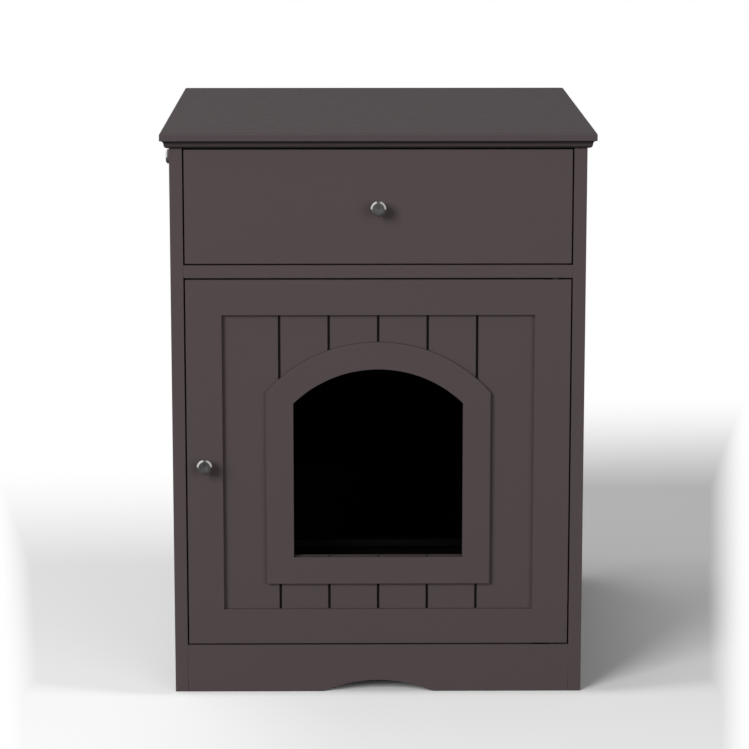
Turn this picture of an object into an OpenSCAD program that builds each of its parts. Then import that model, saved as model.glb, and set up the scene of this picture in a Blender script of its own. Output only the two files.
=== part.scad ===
// Cat litter cabinet: a moulded top, a drawer on roller runners, and an inset door with an arched
// cat entrance, a planked panel and pivot hinges on its right side. A litter pan stands inside.
// Millimetres, +X right, +Y back, +Z up. The origin is on the floor under the centre of the top.

/* [Cabinet] */
// Width of the cabinet body under the top's overhang
body_w = 480; // [460:1:540]
// Depth of the cabinet body
body_d = 540; // [530:1:620]
// Height of the side panels, from the floor to the underside of the top
body_h = 647; // [635:1:700]
// Thickness of the cabinet boards, the door frame and the drawer front
board_t = 15; // [14.5:0.5:18]
// Height of the apron under the door
apron_h = 57; // [55:1:75]
// Height of the drawer bay
drawer_bay_h = 136; // [130:1:150]
// Gap round the door and the drawer front
front_gap = 2; // [1.8:0.1:2.6]
// Thickness of the back panel
back_t = 3; // [2.5:0.5:5]
// Distance of the back panel from the rear edges of the side panels
back_inset = 10; // [8:1:20]
// Depth of the back panel's grooves
back_groove = 6; // [4:0.5:8]
// Height of the back panel's lower edge above the floor
back_lift = 12; // [5:1:30]

/* [Top board] */
// Thickness of the top board
top_t = 18; // [18:0.5:24]
// Overhang of the top at the front and both sides
top_overhang = 10.5; // [10:0.5:18]
// Height of the nose, the widest part of the moulded edge
nose_h = 9; // [8.5:0.5:10]
// Radius of the nose's upper and lower corners
nose_r = 2.5; // [1.5:0.1:3]
// Radius of the cove under the nose
cove_r = 3.5; // [3:0.1:3.8]
// Radius of the bead under the cove
bead_r = 4.5; // [3.5:0.1:4.6]

/* [Toe arch] */
// Width of the toe arch at the floor
toe_w = 128; // [100:1:160]
// Height of the toe arch
toe_h = 13.7; // [10:0.1:20]
// Radius that eases the arch into the floor line at its ends
toe_ease_r = 20; // [4:1:30]

/* [Door] */
// Width of the door's stiles
stile_w = 41.5; // [41:0.5:48]
// Height of the door's rails
rail_h = 41.5; // [40:0.5:50]
// How far the planked panel lies behind the door's face
panel_recess = 6; // [5:0.5:7]
// Width of the rabbet that holds the panel
rabbet_w = 8; // [6:0.5:9]
// Distance from one plank groove to the next
plank_pitch = 57.5; // [50:0.5:60]
// Number of plank grooves
plank_grooves = 5; // [3:2:5]
// Width of a plank groove
groove_w = 3; // [2:0.1:4]
// Depth of a plank groove
groove_depth = 2.5; // [1:0.1:4]
// Width of the cat entrance
entrance_w = 198; // [180:1:220]
// Height of the entrance's sill above the bottom rail
sill_rise = 63; // [50:0.5:68]
// Distance of the entrance's top below the top rail
arch_drop = 64; // [40:0.5:80]
// Rise of the entrance's arch above its sides
arch_rise = 40.5; // [30:0.5:45]
// Width of the surround round the entrance
surround_w = 32; // [25:0.5:34]

/* [Drawer] */
// Thickness of the drawer's sides and back
drawer_board_t = 12; // [12:0.5:15]
// Height of the drawer's sides
drawer_side_h = 100; // [90:1:105]
// Length of the drawer's sides and runners
drawer_l = 400; // [350:1:430]
// Thickness of the drawer's bottom
drawer_bottom_t = 3; // [2.5:0.1:4]
// Depth of the grooves that hold the bottom
bottom_groove = 6; // [4:0.5:7]
// Height of the bottom's groove above the sides' lower edge
bottom_lift = 8; // [6:0.5:12]

/* [Runners] */
// Space between the side panel and the drawer side
runner_space = 12.5; // [12.5:0.1:14]
// Thickness of the runner steel
runner_t = 1.2; // [1:0.1:1.5]
// Diameter of the rollers
roller_d = 20; // [18:0.5:22]
// Width of the rollers
roller_w = 8; // [7:0.1:8]
// Diameter of the roller pins
roller_pin_d = 5; // [4:0.1:6]
// Height of the cabinet runners above the divider
runner_lift = 8; // [6:0.5:12]
// Width of the drawer runner's foot under the drawer side
runner_foot_w = 10; // [9:0.5:11]
// Distance of each roller's axle from its end of the runner
roller_in = 14; // [12:0.5:16]
// How far the drawer slides out before its rear rollers meet their stops
drawer_travel = 290; // [200:5:300]

/* [Pivot hinges] */
// Distance of the pivot axis from the door's right edge
pivot_in = 18; // [17:0.5:19]
// Diameter of the hinge pins
pivot_d = 5; // [4:0.1:6]
// Length of a hinge leaf
leaf_l = 28.5; // [28:0.5:29]
// Width of a hinge leaf
leaf_w = 11; // [10:0.5:12]
// Thickness of a hinge leaf
leaf_t = 2; // [1.8:0.1:2.5]
// Diameter of the hinge washers
washer_d = 10; // [8:0.5:11]

/* [Knobs] */
// Diameter of a knob's head
knob_d = 18; // [16:0.5:24]
// How far a knob stands out
knob_out = 20; // [18:0.5:24]
// Diameter of a knob's neck
knob_neck_d = 8; // [7:0.5:10]
// Diameter of a knob's foot
knob_foot_d = 11; // [10:0.5:14]
// Width of the bevel round a knob's face
knob_bevel = 1.8; // [1:0.1:3]
// Height of a knob's head
knob_head_h = 7; // [5:0.5:9]
// Diameter of the knob screws
knob_screw_d = 4; // [3:0.1:5]
// Distance of the side knob below the top
side_knob_drop = 41; // [36:1:60]

/* [Magnetic catch] */
// Width of the catch housing
catch_w = 30; // [26:1:32]
// Depth of the catch housing
catch_d = 15; // [13:0.5:18]
// Height of the catch housing
catch_h = 16; // [14:0.5:18]
// Width of the catch with its two ears
catch_flange_w = 44; // [42:0.5:45]
// Distance from the inner face of the side panel to the catch
catch_in = 3; // [2:0.5:6]
// Thickness of the strike plate
strike_t = 1.2; // [1:0.1:1.5]

/* [Fittings] */
// Diameter of the cam discs
cam_d = 15; // [12:0.5:16]
// Distance of a cam disc's centre from the joint
cam_reach = 24; // [24:0.5:30]
// Diameter of a cam bolt's thread
bolt_thread_d = 6; // [5:0.1:7]
// Depth of a cam bolt's thread
bolt_depth = 11; // [9:0.5:12]
// Diameter of the carcass dowels
dowel_d = 8; // [6:0.1:8]
// Diameter of the drawer's and the door's dowels
small_dowel_d = 6; // [5:0.1:6]
// Diameter of the wood screws
screw_d = 3.5; // [3:0.1:4]

/* [Litter pan] */
// Width of the pan over its rim
pan_w = 380; // [340:1:382]
// Depth of the pan over its rim
pan_d = 430; // [400:1:435]
// Height of the pan
pan_h = 105; // [90:1:115]
// Wall of the pan
pan_wall = 2.5; // [2:0.1:4]
// Radius of the pan's corners
pan_corner_r = 45; // [30:1:60]
// Width of the pan's rim
pan_rim_w = 10; // [6:0.5:14]
// How much wider the pan is at the top than at the foot, on each side
pan_taper = 14; // [8:1:24]

/* [Clearances] */
// Gap round a fastener in its hole, and round a panel in its groove
slip = 0.1; // [0.05:0.05:0.15]
// Radial clearance of a pin that something turns on
pin_fit = 0.05; // [0.03:0.01:0.09]
// Gap between a roller and the steel it rolls on
roll_gap = 0.3; // [0.2:0.05:0.4]
// Side gap between the two members of a runner
runner_gap = 0.6; // [0.5:0.1:0.8]
// Gap between the magnetic catch and the strike plate
catch_gap = 0.3; // [0.2:0.1:0.6]
// Gap between the pan and the back panel
pan_gap = 8; // [6:0.5:12]

/* [Hidden] */

$fn = 64;
left = -1;
right = 1;
over = 1; // how far a cut runs past a face

paint = [0.32, 0.28, 0.28];
steel = [0.78, 0.79, 0.80];
nickel = [0.62, 0.62, 0.63];
brass = [0.72, 0.60, 0.35];
beech = [0.80, 0.66, 0.47];
nylon = [0.93, 0.93, 0.90];
pan_black = [0.08, 0.08, 0.08];
black = [0.12, 0.12, 0.12];

// Main places
front_y = -(body_d - top_overhang) / 2;
back_y = (body_d + top_overhang) / 2;
inside_y = front_y + board_t; // back face of the door, the drawer front and the apron
back_panel_y = back_y - back_inset - back_t; // front face of the back panel
inner_w = body_w - 2 * board_t;
side_mid_x = (body_w - board_t) / 2;
front_mid_y = front_y + board_t / 2;
divider_top = body_h - drawer_bay_h;
divider_z = divider_top - board_t;
floor_z = apron_h - board_t;

// Carcass joints: a place is [centre of the joint, turn], where the turn points +X into the board
// that holds the cam disc and +Z to the face that the disc lies in
joint_in = 60; // cams from the front and back ends of the boards
dowel_step = 40; // a dowel from its cam
apron_cam_z = 24;
apron_dowel_z = 44;
rail_cam_z = 16;
rail_dowel_z = 32;
rail_mid_y = back_panel_y - board_t / 2;
disc_down = [[180, 0, 0], [0, 180, 0]];
disc_back = [[-90, 0, 0], [90, 0, 180]];
disc_front = [[90, 0, 0], [-90, 0, 180]];
disc_inward = [[0, 90, 0], [0, 90, 180]];
function end_places(y, z, turns) = [
    [[-inner_w / 2, y, z], turns[0]],
    [[inner_w / 2, y, z], turns[1]]
];
function top_places(y) = [
    [[-side_mid_x, y, body_h], disc_inward[0]],
    [[side_mid_x, y, body_h], disc_inward[1]]
];
function on_side(places, side) = [for (p = places) if (p[0][0] * side > 0) p];
cam_ys = [front_y + joint_in, back_panel_y - joint_in];
dowel_ys = [cam_ys[0] + dowel_step, cam_ys[1] - dowel_step];
divider_cams = [for (y = cam_ys) each end_places(y, divider_z + board_t / 2, disc_down)];
divider_dowels = [for (y = dowel_ys) each end_places(y, divider_z + board_t / 2, disc_down)];
floor_cams = [for (y = cam_ys) each end_places(y, floor_z + board_t / 2, disc_down)];
floor_dowels = [for (y = dowel_ys) each end_places(y, floor_z + board_t / 2, disc_down)];
apron_cams = end_places(front_mid_y, apron_cam_z, disc_back);
apron_dowels = end_places(front_mid_y, apron_dowel_z, disc_back);
rail_cams = end_places(rail_mid_y, rail_cam_z, disc_front);
rail_dowels = end_places(rail_mid_y, rail_dowel_z, disc_front);
top_cams = [for (y = cam_ys) each top_places(y)];
top_dowels = [for (y = dowel_ys) each top_places(y)];
side_sockets = concat(divider_cams, floor_cams, apron_cams, rail_cams);
side_dowels = concat(divider_dowels, floor_dowels, apron_dowels, rail_dowels);

// Toe arch: one arc through both ends and the crown, and where the easing circles meet it
toe_r = (pow(toe_w / 2, 2) + pow(toe_h, 2)) / (2 * toe_h);
toe_ease_x = sqrt(pow(toe_r + toe_ease_r, 2) - pow(toe_r - toe_h + toe_ease_r, 2));
toe_touch_x = toe_ease_x * toe_r / (toe_r + toe_ease_r);
toe_touch_z = toe_h - toe_r + sqrt(pow(toe_r, 2) - pow(toe_touch_x, 2));

// Cam fittings
cam_floor = 2; // board left under a cam disc
bolt_collar_d = 8;
bolt_collar_l = 10;
bolt_shank_d = 5;
bolt_head_d = 6;
bolt_head_l = 3;
drive_l = 9; // cross recess of a cam disc
drive_w = 1.6;
drive_depth = 1.8;
dowel_in = 10; // dowel in the face of the one board
dowel_out = 20; // dowel in the edge of the other

// Wood screws
screw_head_d = 6;
screw_head_h = 1.6;
screw_tip_h = 3;
screw_l = 11;
countersink_h = 1.5;
slot_w = 0.8;

// Drawer
drawer_front_w = inner_w - 2 * front_gap;
drawer_front_z = divider_top + front_gap;
drawer_front_h = drawer_bay_h - 2 * front_gap;
drawer_w = inner_w - 2 * runner_space;
drawer_inner_w = drawer_w - 2 * drawer_board_t;
drawer_side_x = (drawer_w - drawer_board_t) / 2;
channel_h = roller_d + runner_t + 4 * roll_gap; // inside height of the cabinet runner
channel_z = divider_top + runner_lift + runner_t; // where the rear rollers run
foot_gap = 1.3; // foot of the drawer runner above the channel's floor
drawer_side_z = channel_z + foot_gap + runner_t;
axle_z = channel_z + roll_gap + roller_d / 2;
drawer_back_y = inside_y + drawer_l;
disc_inside = [[90, 0, 90], [-90, 0, 90]];
function drawer_places(up) = [
    [[-drawer_side_x, inside_y, drawer_side_z + up], disc_inside[0]],
    [[drawer_side_x, inside_y, drawer_side_z + up], disc_inside[1]]
];
drawer_cam_up = 50;
drawer_dowel_ups = [26, 76];
drawer_cams = drawer_places(drawer_cam_up);
drawer_dowel_places = [for (up = drawer_dowel_ups) each drawer_places(up)];
back_screw_ups = [32, 76];
back_screw_l = 32;

// Runners
flange_w = runner_space - runner_t - runner_gap; // a runner flange, past its own web
riding_z = axle_z + roller_d / 2 + roll_gap; // underside of the flange on the front roller
riding_reach = flange_w - runner_t - runner_gap; // how far it stands out of its web
cabinet_runner_y = inside_y + front_gap;
runner_tail = 13; // cabinet runner past the drawer's back
cabinet_runner_l = drawer_l + runner_tail;
front_axle_y = cabinet_runner_y + roller_in;
rear_axle_y = drawer_back_y - roller_in;
pin_head_d = 8;
pin_head_h = 0.9;
roller_rim_w = 2.5;
roller_hub_d = 9;
roller_dish = 1;
roller_chamfer = 0.6;
front_screw_gap = 13; // from the front roller to the first screw
front_screw_step = 20; // from there to the second
rear_screw_gap = 5; // from the rear roller, with the drawer shut, to the last
front_screw_y = front_axle_y + roller_d / 2 + front_screw_gap;
rear_screw_y = rear_axle_y + roller_d / 2 + rear_screw_gap;
runner_screw_ys = [front_screw_y, front_screw_y + front_screw_step, rear_screw_y];
stop_d = 6; // stop stud of a cabinet runner, in the path of the rear roller
stop_l = 6;
stop_y = rear_axle_y - drawer_travel - (roller_d + stop_d) / 2 - roll_gap;
foot_screw_in = 40; // from the ends of the drawer runner
foot_screw_ys = [inside_y + foot_screw_in, inside_y + drawer_l / 2, drawer_back_y - foot_screw_in];
foot_screw_x = (drawer_w - drawer_board_t + bottom_groove) / 2; // beside the bottom's groove

// Door
door_w = inner_w - 2 * front_gap;
door_z = apron_h + front_gap;
door_top = divider_z - front_gap;
door_h = door_top - door_z;
panel_t = board_t - panel_recess;
frame_in_w = door_w - 2 * stile_w; // visible width of the panel
frame_in_z = door_z + rail_h;
frame_in_h = door_h - 2 * rail_h;
sill_z = frame_in_z + sill_rise;
arch_r = (pow(entrance_w / 2, 2) + pow(arch_rise, 2)) / (2 * arch_rise);
arch_top = frame_in_z + frame_in_h - arch_drop;
arch_z = arch_top - arch_r;
door_dowel_ins = [15, 27]; // from the outer edge of a rail
door_dowel_half = 15;
pivot_x = door_w / 2 - pivot_in;
leaf_end = 6; // a leaf past its pivot
leaf_screws = [-9.5, -18.5]; // from the pivot
leaf_screw_l = 10;
leaf_screw_d = 3;
leaf_screw_head_d = 5.6;
pivot_reach = 4; // a pin past its leaf, each way
well_gap = 0.3; // round a pin's end in the wood

// Magnetic catch
catch_x = -inner_w / 2 + catch_in + catch_flange_w / 2;
catch_y = inside_y + strike_t + catch_gap;
catch_ear_t = 3;
magnet_w = 22;
magnet_h = 7;
magnet_d = 6;
strike_w = 36;
strike_h = 12;
strike_drop = 2; // its centre below the magnet's
strike_z = divider_z - catch_h / 2 - strike_drop;
ear_screw_x = (catch_flange_w + catch_w) / 4;

// Knobs
knob_foot_h = 1.5;
knob_flare_h = 2;
knob_thread_l = 11;
knob_screw_head_d = 8;
knob_screw_head_h = 2.4;
drawer_knob_z = drawer_front_z + drawer_front_h / 2;
door_knob_x = -(door_w - stile_w) / 2;
door_knob_z = door_z + door_h / 2;
side_knob_y = (front_y + back_y) / 2;
side_knob_z = body_h - side_knob_drop;

// Back panel pins
back_pin_d = 1.6;
back_pin_l = 15;
back_pin_head_d = 4;
back_pin_head_h = 0.8;
back_pin_xs = [-inner_w / 3, 0, inner_w / 3];

// Litter pan
pan_back_y = back_panel_y - pan_gap;
pan_mid_y = pan_back_y - pan_d / 2;
pan_lip_h = 8;
pan_fn = 32;
pan_slice = 0.01; // thickness of the two outlines that a hull joins

// ---------------------------------------------------------------- helpers

module at_each(places) for (place = places) translate(place[0]) rotate(place[1]) children();

module both_sides() for (side = [0, 1]) mirror([side, 0, 0]) children();

module on_the(side) mirror([side == right ? 1 : 0, 0, 0]) children();

// A section in X and Z drawn out along Y, from y to y + l
module along_y(y, l) translate([0, y + l, 0]) rotate([90, 0, 0]) linear_extrude(l) children();

module block(x, y, z, w, d, h) translate([x - w / 2, y, z]) cube([w, d, h]);

// ---------------------------------------------------------------- fittings

function cam_depth(thickness) = thickness - cam_floor;

module cam_bolt() rotate([0, 90, 0]) {
    translate([0, 0, -bolt_depth]) cylinder(d = bolt_thread_d, h = bolt_depth);
    cylinder(d = bolt_collar_d, h = bolt_collar_l);
    cylinder(d = bolt_shank_d, h = cam_reach);
    translate([0, 0, cam_reach - bolt_head_l]) cylinder(d = bolt_head_d, h = bolt_head_l);
}

// The bolt's hole in the face of the board that it is screwed into
module bolt_socket() rotate([0, 90, 0]) translate([0, 0, -bolt_depth - slip])
    cylinder(d = bolt_thread_d + 2 * slip, h = bolt_depth + slip + over);

module cam_disc(thickness) difference() {
    translate([cam_reach, 0, thickness / 2 - cam_depth(thickness)])
        cylinder(d = cam_d, h = cam_depth(thickness));
    rotate([0, 90, 0]) translate([0, 0, cam_reach - cam_d])
        cylinder(d = bolt_head_d + 2 * slip, h = cam_d + slip);
    for (turn = [0, 90]) translate([cam_reach, 0, thickness / 2]) rotate([0, 0, turn])
        cube([drive_l, drive_w, 2 * drive_depth], center = true);
}

// The disc's and the bolt's holes in the board that holds the disc
module cam_bores(thickness) {
    rotate([0, 90, 0]) translate([0, 0, -over])
        cylinder(d = bolt_collar_d + 2 * slip, h = cam_reach + over);
    translate([cam_reach, 0, thickness / 2 - cam_depth(thickness) - slip])
        cylinder(d = cam_d + 2 * slip, h = cam_depth(thickness) + slip + over);
}

module dowel(d) rotate([0, 90, 0]) translate([0, 0, -dowel_in]) cylinder(d = d, h = dowel_in + dowel_out);

module dowel_bore(d) rotate([0, 90, 0]) translate([0, 0, -dowel_in - slip])
    cylinder(d = d + 2 * slip, h = dowel_in + dowel_out + 2 * slip);

// A pan-head screw that points down, with the underside of its head at the origin
module pan_screw() difference() {
    union() {
        translate([0, 0, -screw_l]) cylinder(d1 = slot_w, d2 = screw_d, h = screw_tip_h);
        translate([0, 0, screw_tip_h - screw_l]) cylinder(d = screw_d, h = screw_l - screw_tip_h);
        cylinder(d = screw_head_d, h = screw_head_h);
    }
    translate([0, 0, screw_head_h]) cube([screw_head_d + over, slot_w, screw_head_h], center = true);
}

module screw_bore(l = screw_l, d = screw_d) translate([0, 0, -l - slip])
    cylinder(d = d + 2 * slip, h = l + slip + over);

// A countersunk screw that points down, with its flat face at the origin
module flat_screw(d, head_d, l) difference() {
    union() {
        translate([0, 0, -l]) cylinder(d = d, h = l - countersink_h);
        translate([0, 0, -countersink_h]) cylinder(d1 = d, d2 = head_d, h = countersink_h);
    }
    cube([head_d + over, slot_w, countersink_h], center = true);
}

module flat_screw_bore(d, head_d, l) {
    translate([0, 0, -l - slip]) cylinder(d = d + 2 * slip, h = l + slip + over);
    translate([0, 0, -countersink_h]) cylinder(d1 = d + 2 * slip, d2 = head_d + 2 * slip, h = countersink_h);
    cylinder(d = head_d + 2 * slip, h = over);
}

// ---------------------------------------------------------------- knobs

// A knob that stands up, with its foot at the origin
module knob() color(nickel) difference() {
    rotate_extrude() polygon([
        [0, 0], [knob_foot_d / 2, 0], [knob_foot_d / 2, knob_foot_h],
        [knob_neck_d / 2, knob_foot_h + knob_flare_h],
        [knob_neck_d / 2, knob_out - knob_head_h - knob_flare_h],
        [knob_d / 2, knob_out - knob_head_h], [knob_d / 2, knob_out - knob_bevel],
        [knob_d / 2 - knob_bevel, knob_out], [0, knob_out]
    ]);
    translate([0, 0, -over]) cylinder(d = knob_screw_d + 2 * slip, h = knob_thread_l + over);
}

// The screw through the board behind the knob, with the board's outer face at the origin
module knob_screw() color(steel) difference() {
    union() {
        translate([0, 0, -board_t]) cylinder(d = knob_screw_d, h = board_t + knob_thread_l - slip);
        translate([0, 0, -board_t - knob_screw_head_h])
            cylinder(d = knob_screw_head_d, h = knob_screw_head_h);
    }
    translate([0, 0, -board_t - knob_screw_head_h])
        cube([knob_screw_head_d + over, slot_w, knob_screw_head_h], center = true);
}

module knob_bore() translate([0, 0, -board_t - over])
    cylinder(d = knob_screw_d + 2 * slip, h = board_t + 2 * over);

module at_drawer_knob() translate([0, front_y, drawer_knob_z]) rotate([90, 0, 0]) children();

module at_door_knob() translate([door_knob_x, front_y, door_knob_z]) rotate([90, 0, 0]) children();

module at_side_knob() translate([-body_w / 2, side_knob_y, side_knob_z]) rotate([0, -90, 0]) children();

module drawer_knob() at_drawer_knob() knob();

module door_knob() at_door_knob() knob();

module side_knob() at_side_knob() knob();

module drawer_knob_screw() at_drawer_knob() knob_screw();

module door_knob_screw() at_door_knob() knob_screw();

module side_knob_screw() at_side_knob() knob_screw();

// ---------------------------------------------------------------- cabinet

// The moulded edge at the origin's corner: the nose reaches out to x = 0, the top face is at z = 0
module edge_profile(reach) difference() {
    union() {
        translate([nose_r, -nose_r]) circle(r = nose_r);
        translate([nose_r, nose_r - nose_h]) circle(r = nose_r);
        translate([0, nose_r - nose_h]) square([nose_r, nose_h - 2 * nose_r]);
        translate([nose_r, -nose_h]) square([reach - nose_r, nose_h]);
        translate([nose_r + cove_r + bead_r, -top_t])
            square([reach - nose_r - cove_r - bead_r, top_t - nose_h + over]);
        translate([nose_r + cove_r, bead_r - top_t])
            square([bead_r, top_t - nose_h - bead_r + over]);
        translate([nose_r + cove_r + bead_r, bead_r - top_t]) circle(r = bead_r);
        translate([nose_r, -nose_h - cove_r]) square([cove_r, cove_r + over]);
    }
    translate([nose_r, -nose_h - cove_r]) circle(r = cove_r);
}

module top_board() color(paint) difference() {
    intersection() {
        along_y(front_y - top_overhang, body_d + top_overhang) translate([0, body_h + top_t])
            for (side = [0, 1]) mirror([side, 0])
                translate([-body_w / 2 - top_overhang, 0]) edge_profile(body_w / 2 + top_overhang);
        rotate([0, 0, 90]) along_y(-body_w, 2 * body_w) translate([front_y - top_overhang, body_h + top_t])
            edge_profile(body_d + top_overhang);
    }
    at_each(top_cams) bolt_socket();
    at_each(top_dowels) dowel_bore(dowel_d);
}

module side_panel(side) color(paint) difference() {
    block(side * side_mid_x, front_y, 0, board_t, body_d, body_h);
    block(side * inner_w / 2, back_panel_y - slip, -over, 2 * back_groove, back_t + 2 * slip,
        body_h + 2 * over);
    at_each(on_side(side_sockets, side)) bolt_socket();
    at_each(on_side(side_dowels, side)) dowel_bore(dowel_d);
    at_each(on_side(top_cams, side)) cam_bores(board_t);
    at_each(on_side(top_dowels, side)) dowel_bore(dowel_d);
    on_the(side) at_runner_screws() screw_bore();
    if (side == left) at_side_knob() knob_bore();
}

module side_panel_left() side_panel(left);

module side_panel_right() side_panel(right);

module divider_shelf() color(paint) difference() {
    block(0, front_y, divider_z, inner_w, back_panel_y - front_y, board_t);
    at_each(divider_cams) cam_bores(board_t);
    at_each(divider_dowels) dowel_bore(dowel_d);
    top_hinge() leaf_bed();
    at_catch_screws() screw_bore();
    at_back_pins(divider_z + board_t / 2) back_pin_bore();
}

module floor_board() color(paint) difference() {
    block(0, inside_y, floor_z, inner_w, back_panel_y - inside_y, board_t);
    at_each(floor_cams) cam_bores(board_t);
    at_each(floor_dowels) dowel_bore(dowel_d);
    at_back_pins(floor_z + board_t / 2) back_pin_bore();
}

// A low arc that is eased into the apron's foot at both ends: the foot's corners are rounded, each by a
// circle that stands on the floor and touches the arc from outside
module toe_arch() difference() {
    union() {
        intersection() {
            translate([0, toe_h - toe_r]) circle(r = toe_r);
            translate([-toe_touch_x, 0]) square([2 * toe_touch_x, toe_h + over]);
        }
        translate([-toe_ease_x, -over]) square([2 * toe_ease_x, over + toe_touch_z]);
    }
    for (side = [left, right]) translate([side * toe_ease_x, toe_ease_r]) circle(r = toe_ease_r);
}

module apron() color(paint) difference() {
    block(0, front_y, 0, inner_w, board_t, apron_h);
    along_y(front_y - over, board_t + 2 * over) toe_arch();
    at_each(apron_cams) cam_bores(board_t);
    at_each(apron_dowels) dowel_bore(dowel_d);
    bottom_hinge() leaf_bed();
}

module rear_rail() color(paint) difference() {
    block(0, back_panel_y - board_t, 0, inner_w, board_t, floor_z);
    at_each(rail_cams) cam_bores(board_t);
    at_each(rail_dowels) dowel_bore(dowel_d);
}

module back_panel() color(paint) difference() {
    block(0, back_panel_y, back_lift, inner_w + 2 * back_groove - 2 * slip, back_t, body_h - back_lift);
    for (z = [divider_z, floor_z]) at_back_pins(z + board_t / 2) back_pin_bore();
}

module at_back_pins(z) for (x = back_pin_xs) translate([x, back_panel_y + back_t, z])
    rotate([-90, 0, 0]) children();

module back_pin_bore() screw_bore(back_pin_l, back_pin_d);

module back_panel_pins() color(steel) for (z = [divider_z, floor_z]) at_back_pins(z + board_t / 2) {
    translate([0, 0, -back_pin_l]) cylinder(d = back_pin_d, h = back_pin_l);
    cylinder(d = back_pin_head_d, h = back_pin_head_h);
}

module carcass_cam_bolts() color(steel) at_each(concat(side_sockets, top_cams)) cam_bolt();

module carcass_cam_discs() color(steel) at_each(concat(side_sockets, top_cams)) cam_disc(board_t);

module carcass_dowels() color(beech) at_each(concat(side_dowels, top_dowels)) dowel(dowel_d);

// ---------------------------------------------------------------- runners, drawn for the left side

module at_runner_screws() for (y = runner_screw_ys)
    translate([-inner_w / 2 + runner_t, y, axle_z]) rotate([0, 90, 0]) children();

module at_foot_screws() for (y = foot_screw_ys)
    translate([-foot_screw_x, y, drawer_side_z - runner_t]) rotate([180, 0, 0]) children();

module at_front_axle() translate([-inner_w / 2, front_axle_y, axle_z]) rotate([0, 90, 0]) children();

module at_rear_axle() translate([-drawer_w / 2, rear_axle_y, axle_z]) rotate([0, -90, 0]) children();

// The hole for a roller's pin through a runner's web
module axle_bore() translate([0, 0, -over])
    cylinder(d = roller_pin_d + 2 * pin_fit, h = runner_t + 2 * over);

// A channel with a web on the side panel, a flange above and below the rear roller, and its stop
module cabinet_runner() color(steel) difference() {
    union() {
        along_y(cabinet_runner_y, cabinet_runner_l) difference() {
            translate([-inner_w / 2, channel_z - runner_t]) square([flange_w, channel_h + 2 * runner_t]);
            translate([-inner_w / 2 + runner_t, channel_z]) square([flange_w, channel_h]);
        }
        translate([-inner_w / 2, stop_y, axle_z]) rotate([0, 90, 0]) cylinder(d = stop_d, h = stop_l);
    }
    at_front_axle() axle_bore();
    at_runner_screws() screw_bore();
}

// A web on the drawer side, a foot under it, and a flange that rides on the front roller
module drawer_runner() color(steel) difference() {
    along_y(inside_y, drawer_l) translate([-drawer_w / 2 - runner_t, drawer_side_z - runner_t]) {
        square([runner_t, riding_z - drawer_side_z + 2 * runner_t]);
        square([runner_t + runner_foot_w, runner_t]);
        translate([-riding_reach, riding_z - drawer_side_z + runner_t])
            square([riding_reach + runner_t, runner_t]);
    }
    at_rear_axle() axle_bore();
    at_foot_screws() screw_bore();
}

module roller() color(nylon) translate([0, 0, runner_t + roll_gap]) rotate_extrude() polygon([
    [roller_pin_d / 2 + pin_fit, 0], [roller_hub_d / 2, 0], [roller_hub_d / 2, roller_dish],
    [roller_d / 2 - roller_rim_w, roller_dish], [roller_d / 2 - roller_rim_w, 0],
    [roller_d / 2 - roller_chamfer, 0], [roller_d / 2, roller_chamfer],
    [roller_d / 2, roller_w - roller_chamfer], [roller_d / 2 - roller_chamfer, roller_w],
    [roller_d / 2 - roller_rim_w, roller_w], [roller_d / 2 - roller_rim_w, roller_w - roller_dish],
    [roller_hub_d / 2, roller_w - roller_dish], [roller_hub_d / 2, roller_w],
    [roller_pin_d / 2 + pin_fit, roller_w]
]);

// A rivet pin through the web and the roller, with its head past the roller
module roller_pin() color(steel) {
    cylinder(d = roller_pin_d, h = runner_t + roller_w + 2 * roll_gap);
    translate([0, 0, runner_t + roller_w + 2 * roll_gap]) cylinder(d = pin_head_d, h = pin_head_h);
}

module cabinet_runner_left() on_the(left) cabinet_runner();

module cabinet_runner_right() on_the(right) cabinet_runner();

module cabinet_runner_screws() color(steel) both_sides() at_runner_screws() pan_screw();

module front_roller_pins() both_sides() at_front_axle() roller_pin();

module rear_roller_pins() both_sides() at_rear_axle() roller_pin();

module front_roller_left() on_the(left) at_front_axle() roller();

module front_roller_right() on_the(right) at_front_axle() roller();

module rear_roller_left() on_the(left) at_rear_axle() roller();

module rear_roller_right() on_the(right) at_rear_axle() roller();

module drawer_runner_left() on_the(left) drawer_runner();

module drawer_runner_right() on_the(right) drawer_runner();

module drawer_runner_screws() color(steel) both_sides() at_foot_screws() pan_screw();

// ---------------------------------------------------------------- drawer

module bottom_space() block(0, inside_y - bottom_groove, drawer_side_z + bottom_lift - slip,
    drawer_inner_w + 2 * bottom_groove, drawer_l - drawer_board_t + 2 * bottom_groove,
    drawer_bottom_t + 2 * slip);

module drawer_front() color(paint) difference() {
    block(0, front_y, drawer_front_z, drawer_front_w, board_t, drawer_front_h);
    bottom_space();
    at_each(drawer_cams) bolt_socket();
    at_each(drawer_dowel_places) dowel_bore(small_dowel_d);
    at_drawer_knob() knob_bore();
}

module at_back_screws() both_sides() for (up = back_screw_ups)
    translate([-drawer_w / 2, drawer_back_y - drawer_board_t / 2, drawer_side_z + up])
        rotate([0, -90, 0]) children();

module back_screw_bore() flat_screw_bore(screw_d, screw_head_d, back_screw_l);

module drawer_side(side) color(beech) difference() {
    block(side * drawer_side_x, inside_y, drawer_side_z, drawer_board_t, drawer_l, drawer_side_h);
    bottom_space();
    at_each(on_side(drawer_cams, side)) cam_bores(drawer_board_t);
    at_each(on_side(drawer_dowel_places, side)) dowel_bore(small_dowel_d);
    at_back_screws() back_screw_bore();
    on_the(side) at_foot_screws() screw_bore();
}

module drawer_side_left() drawer_side(left);

module drawer_side_right() drawer_side(right);

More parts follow.
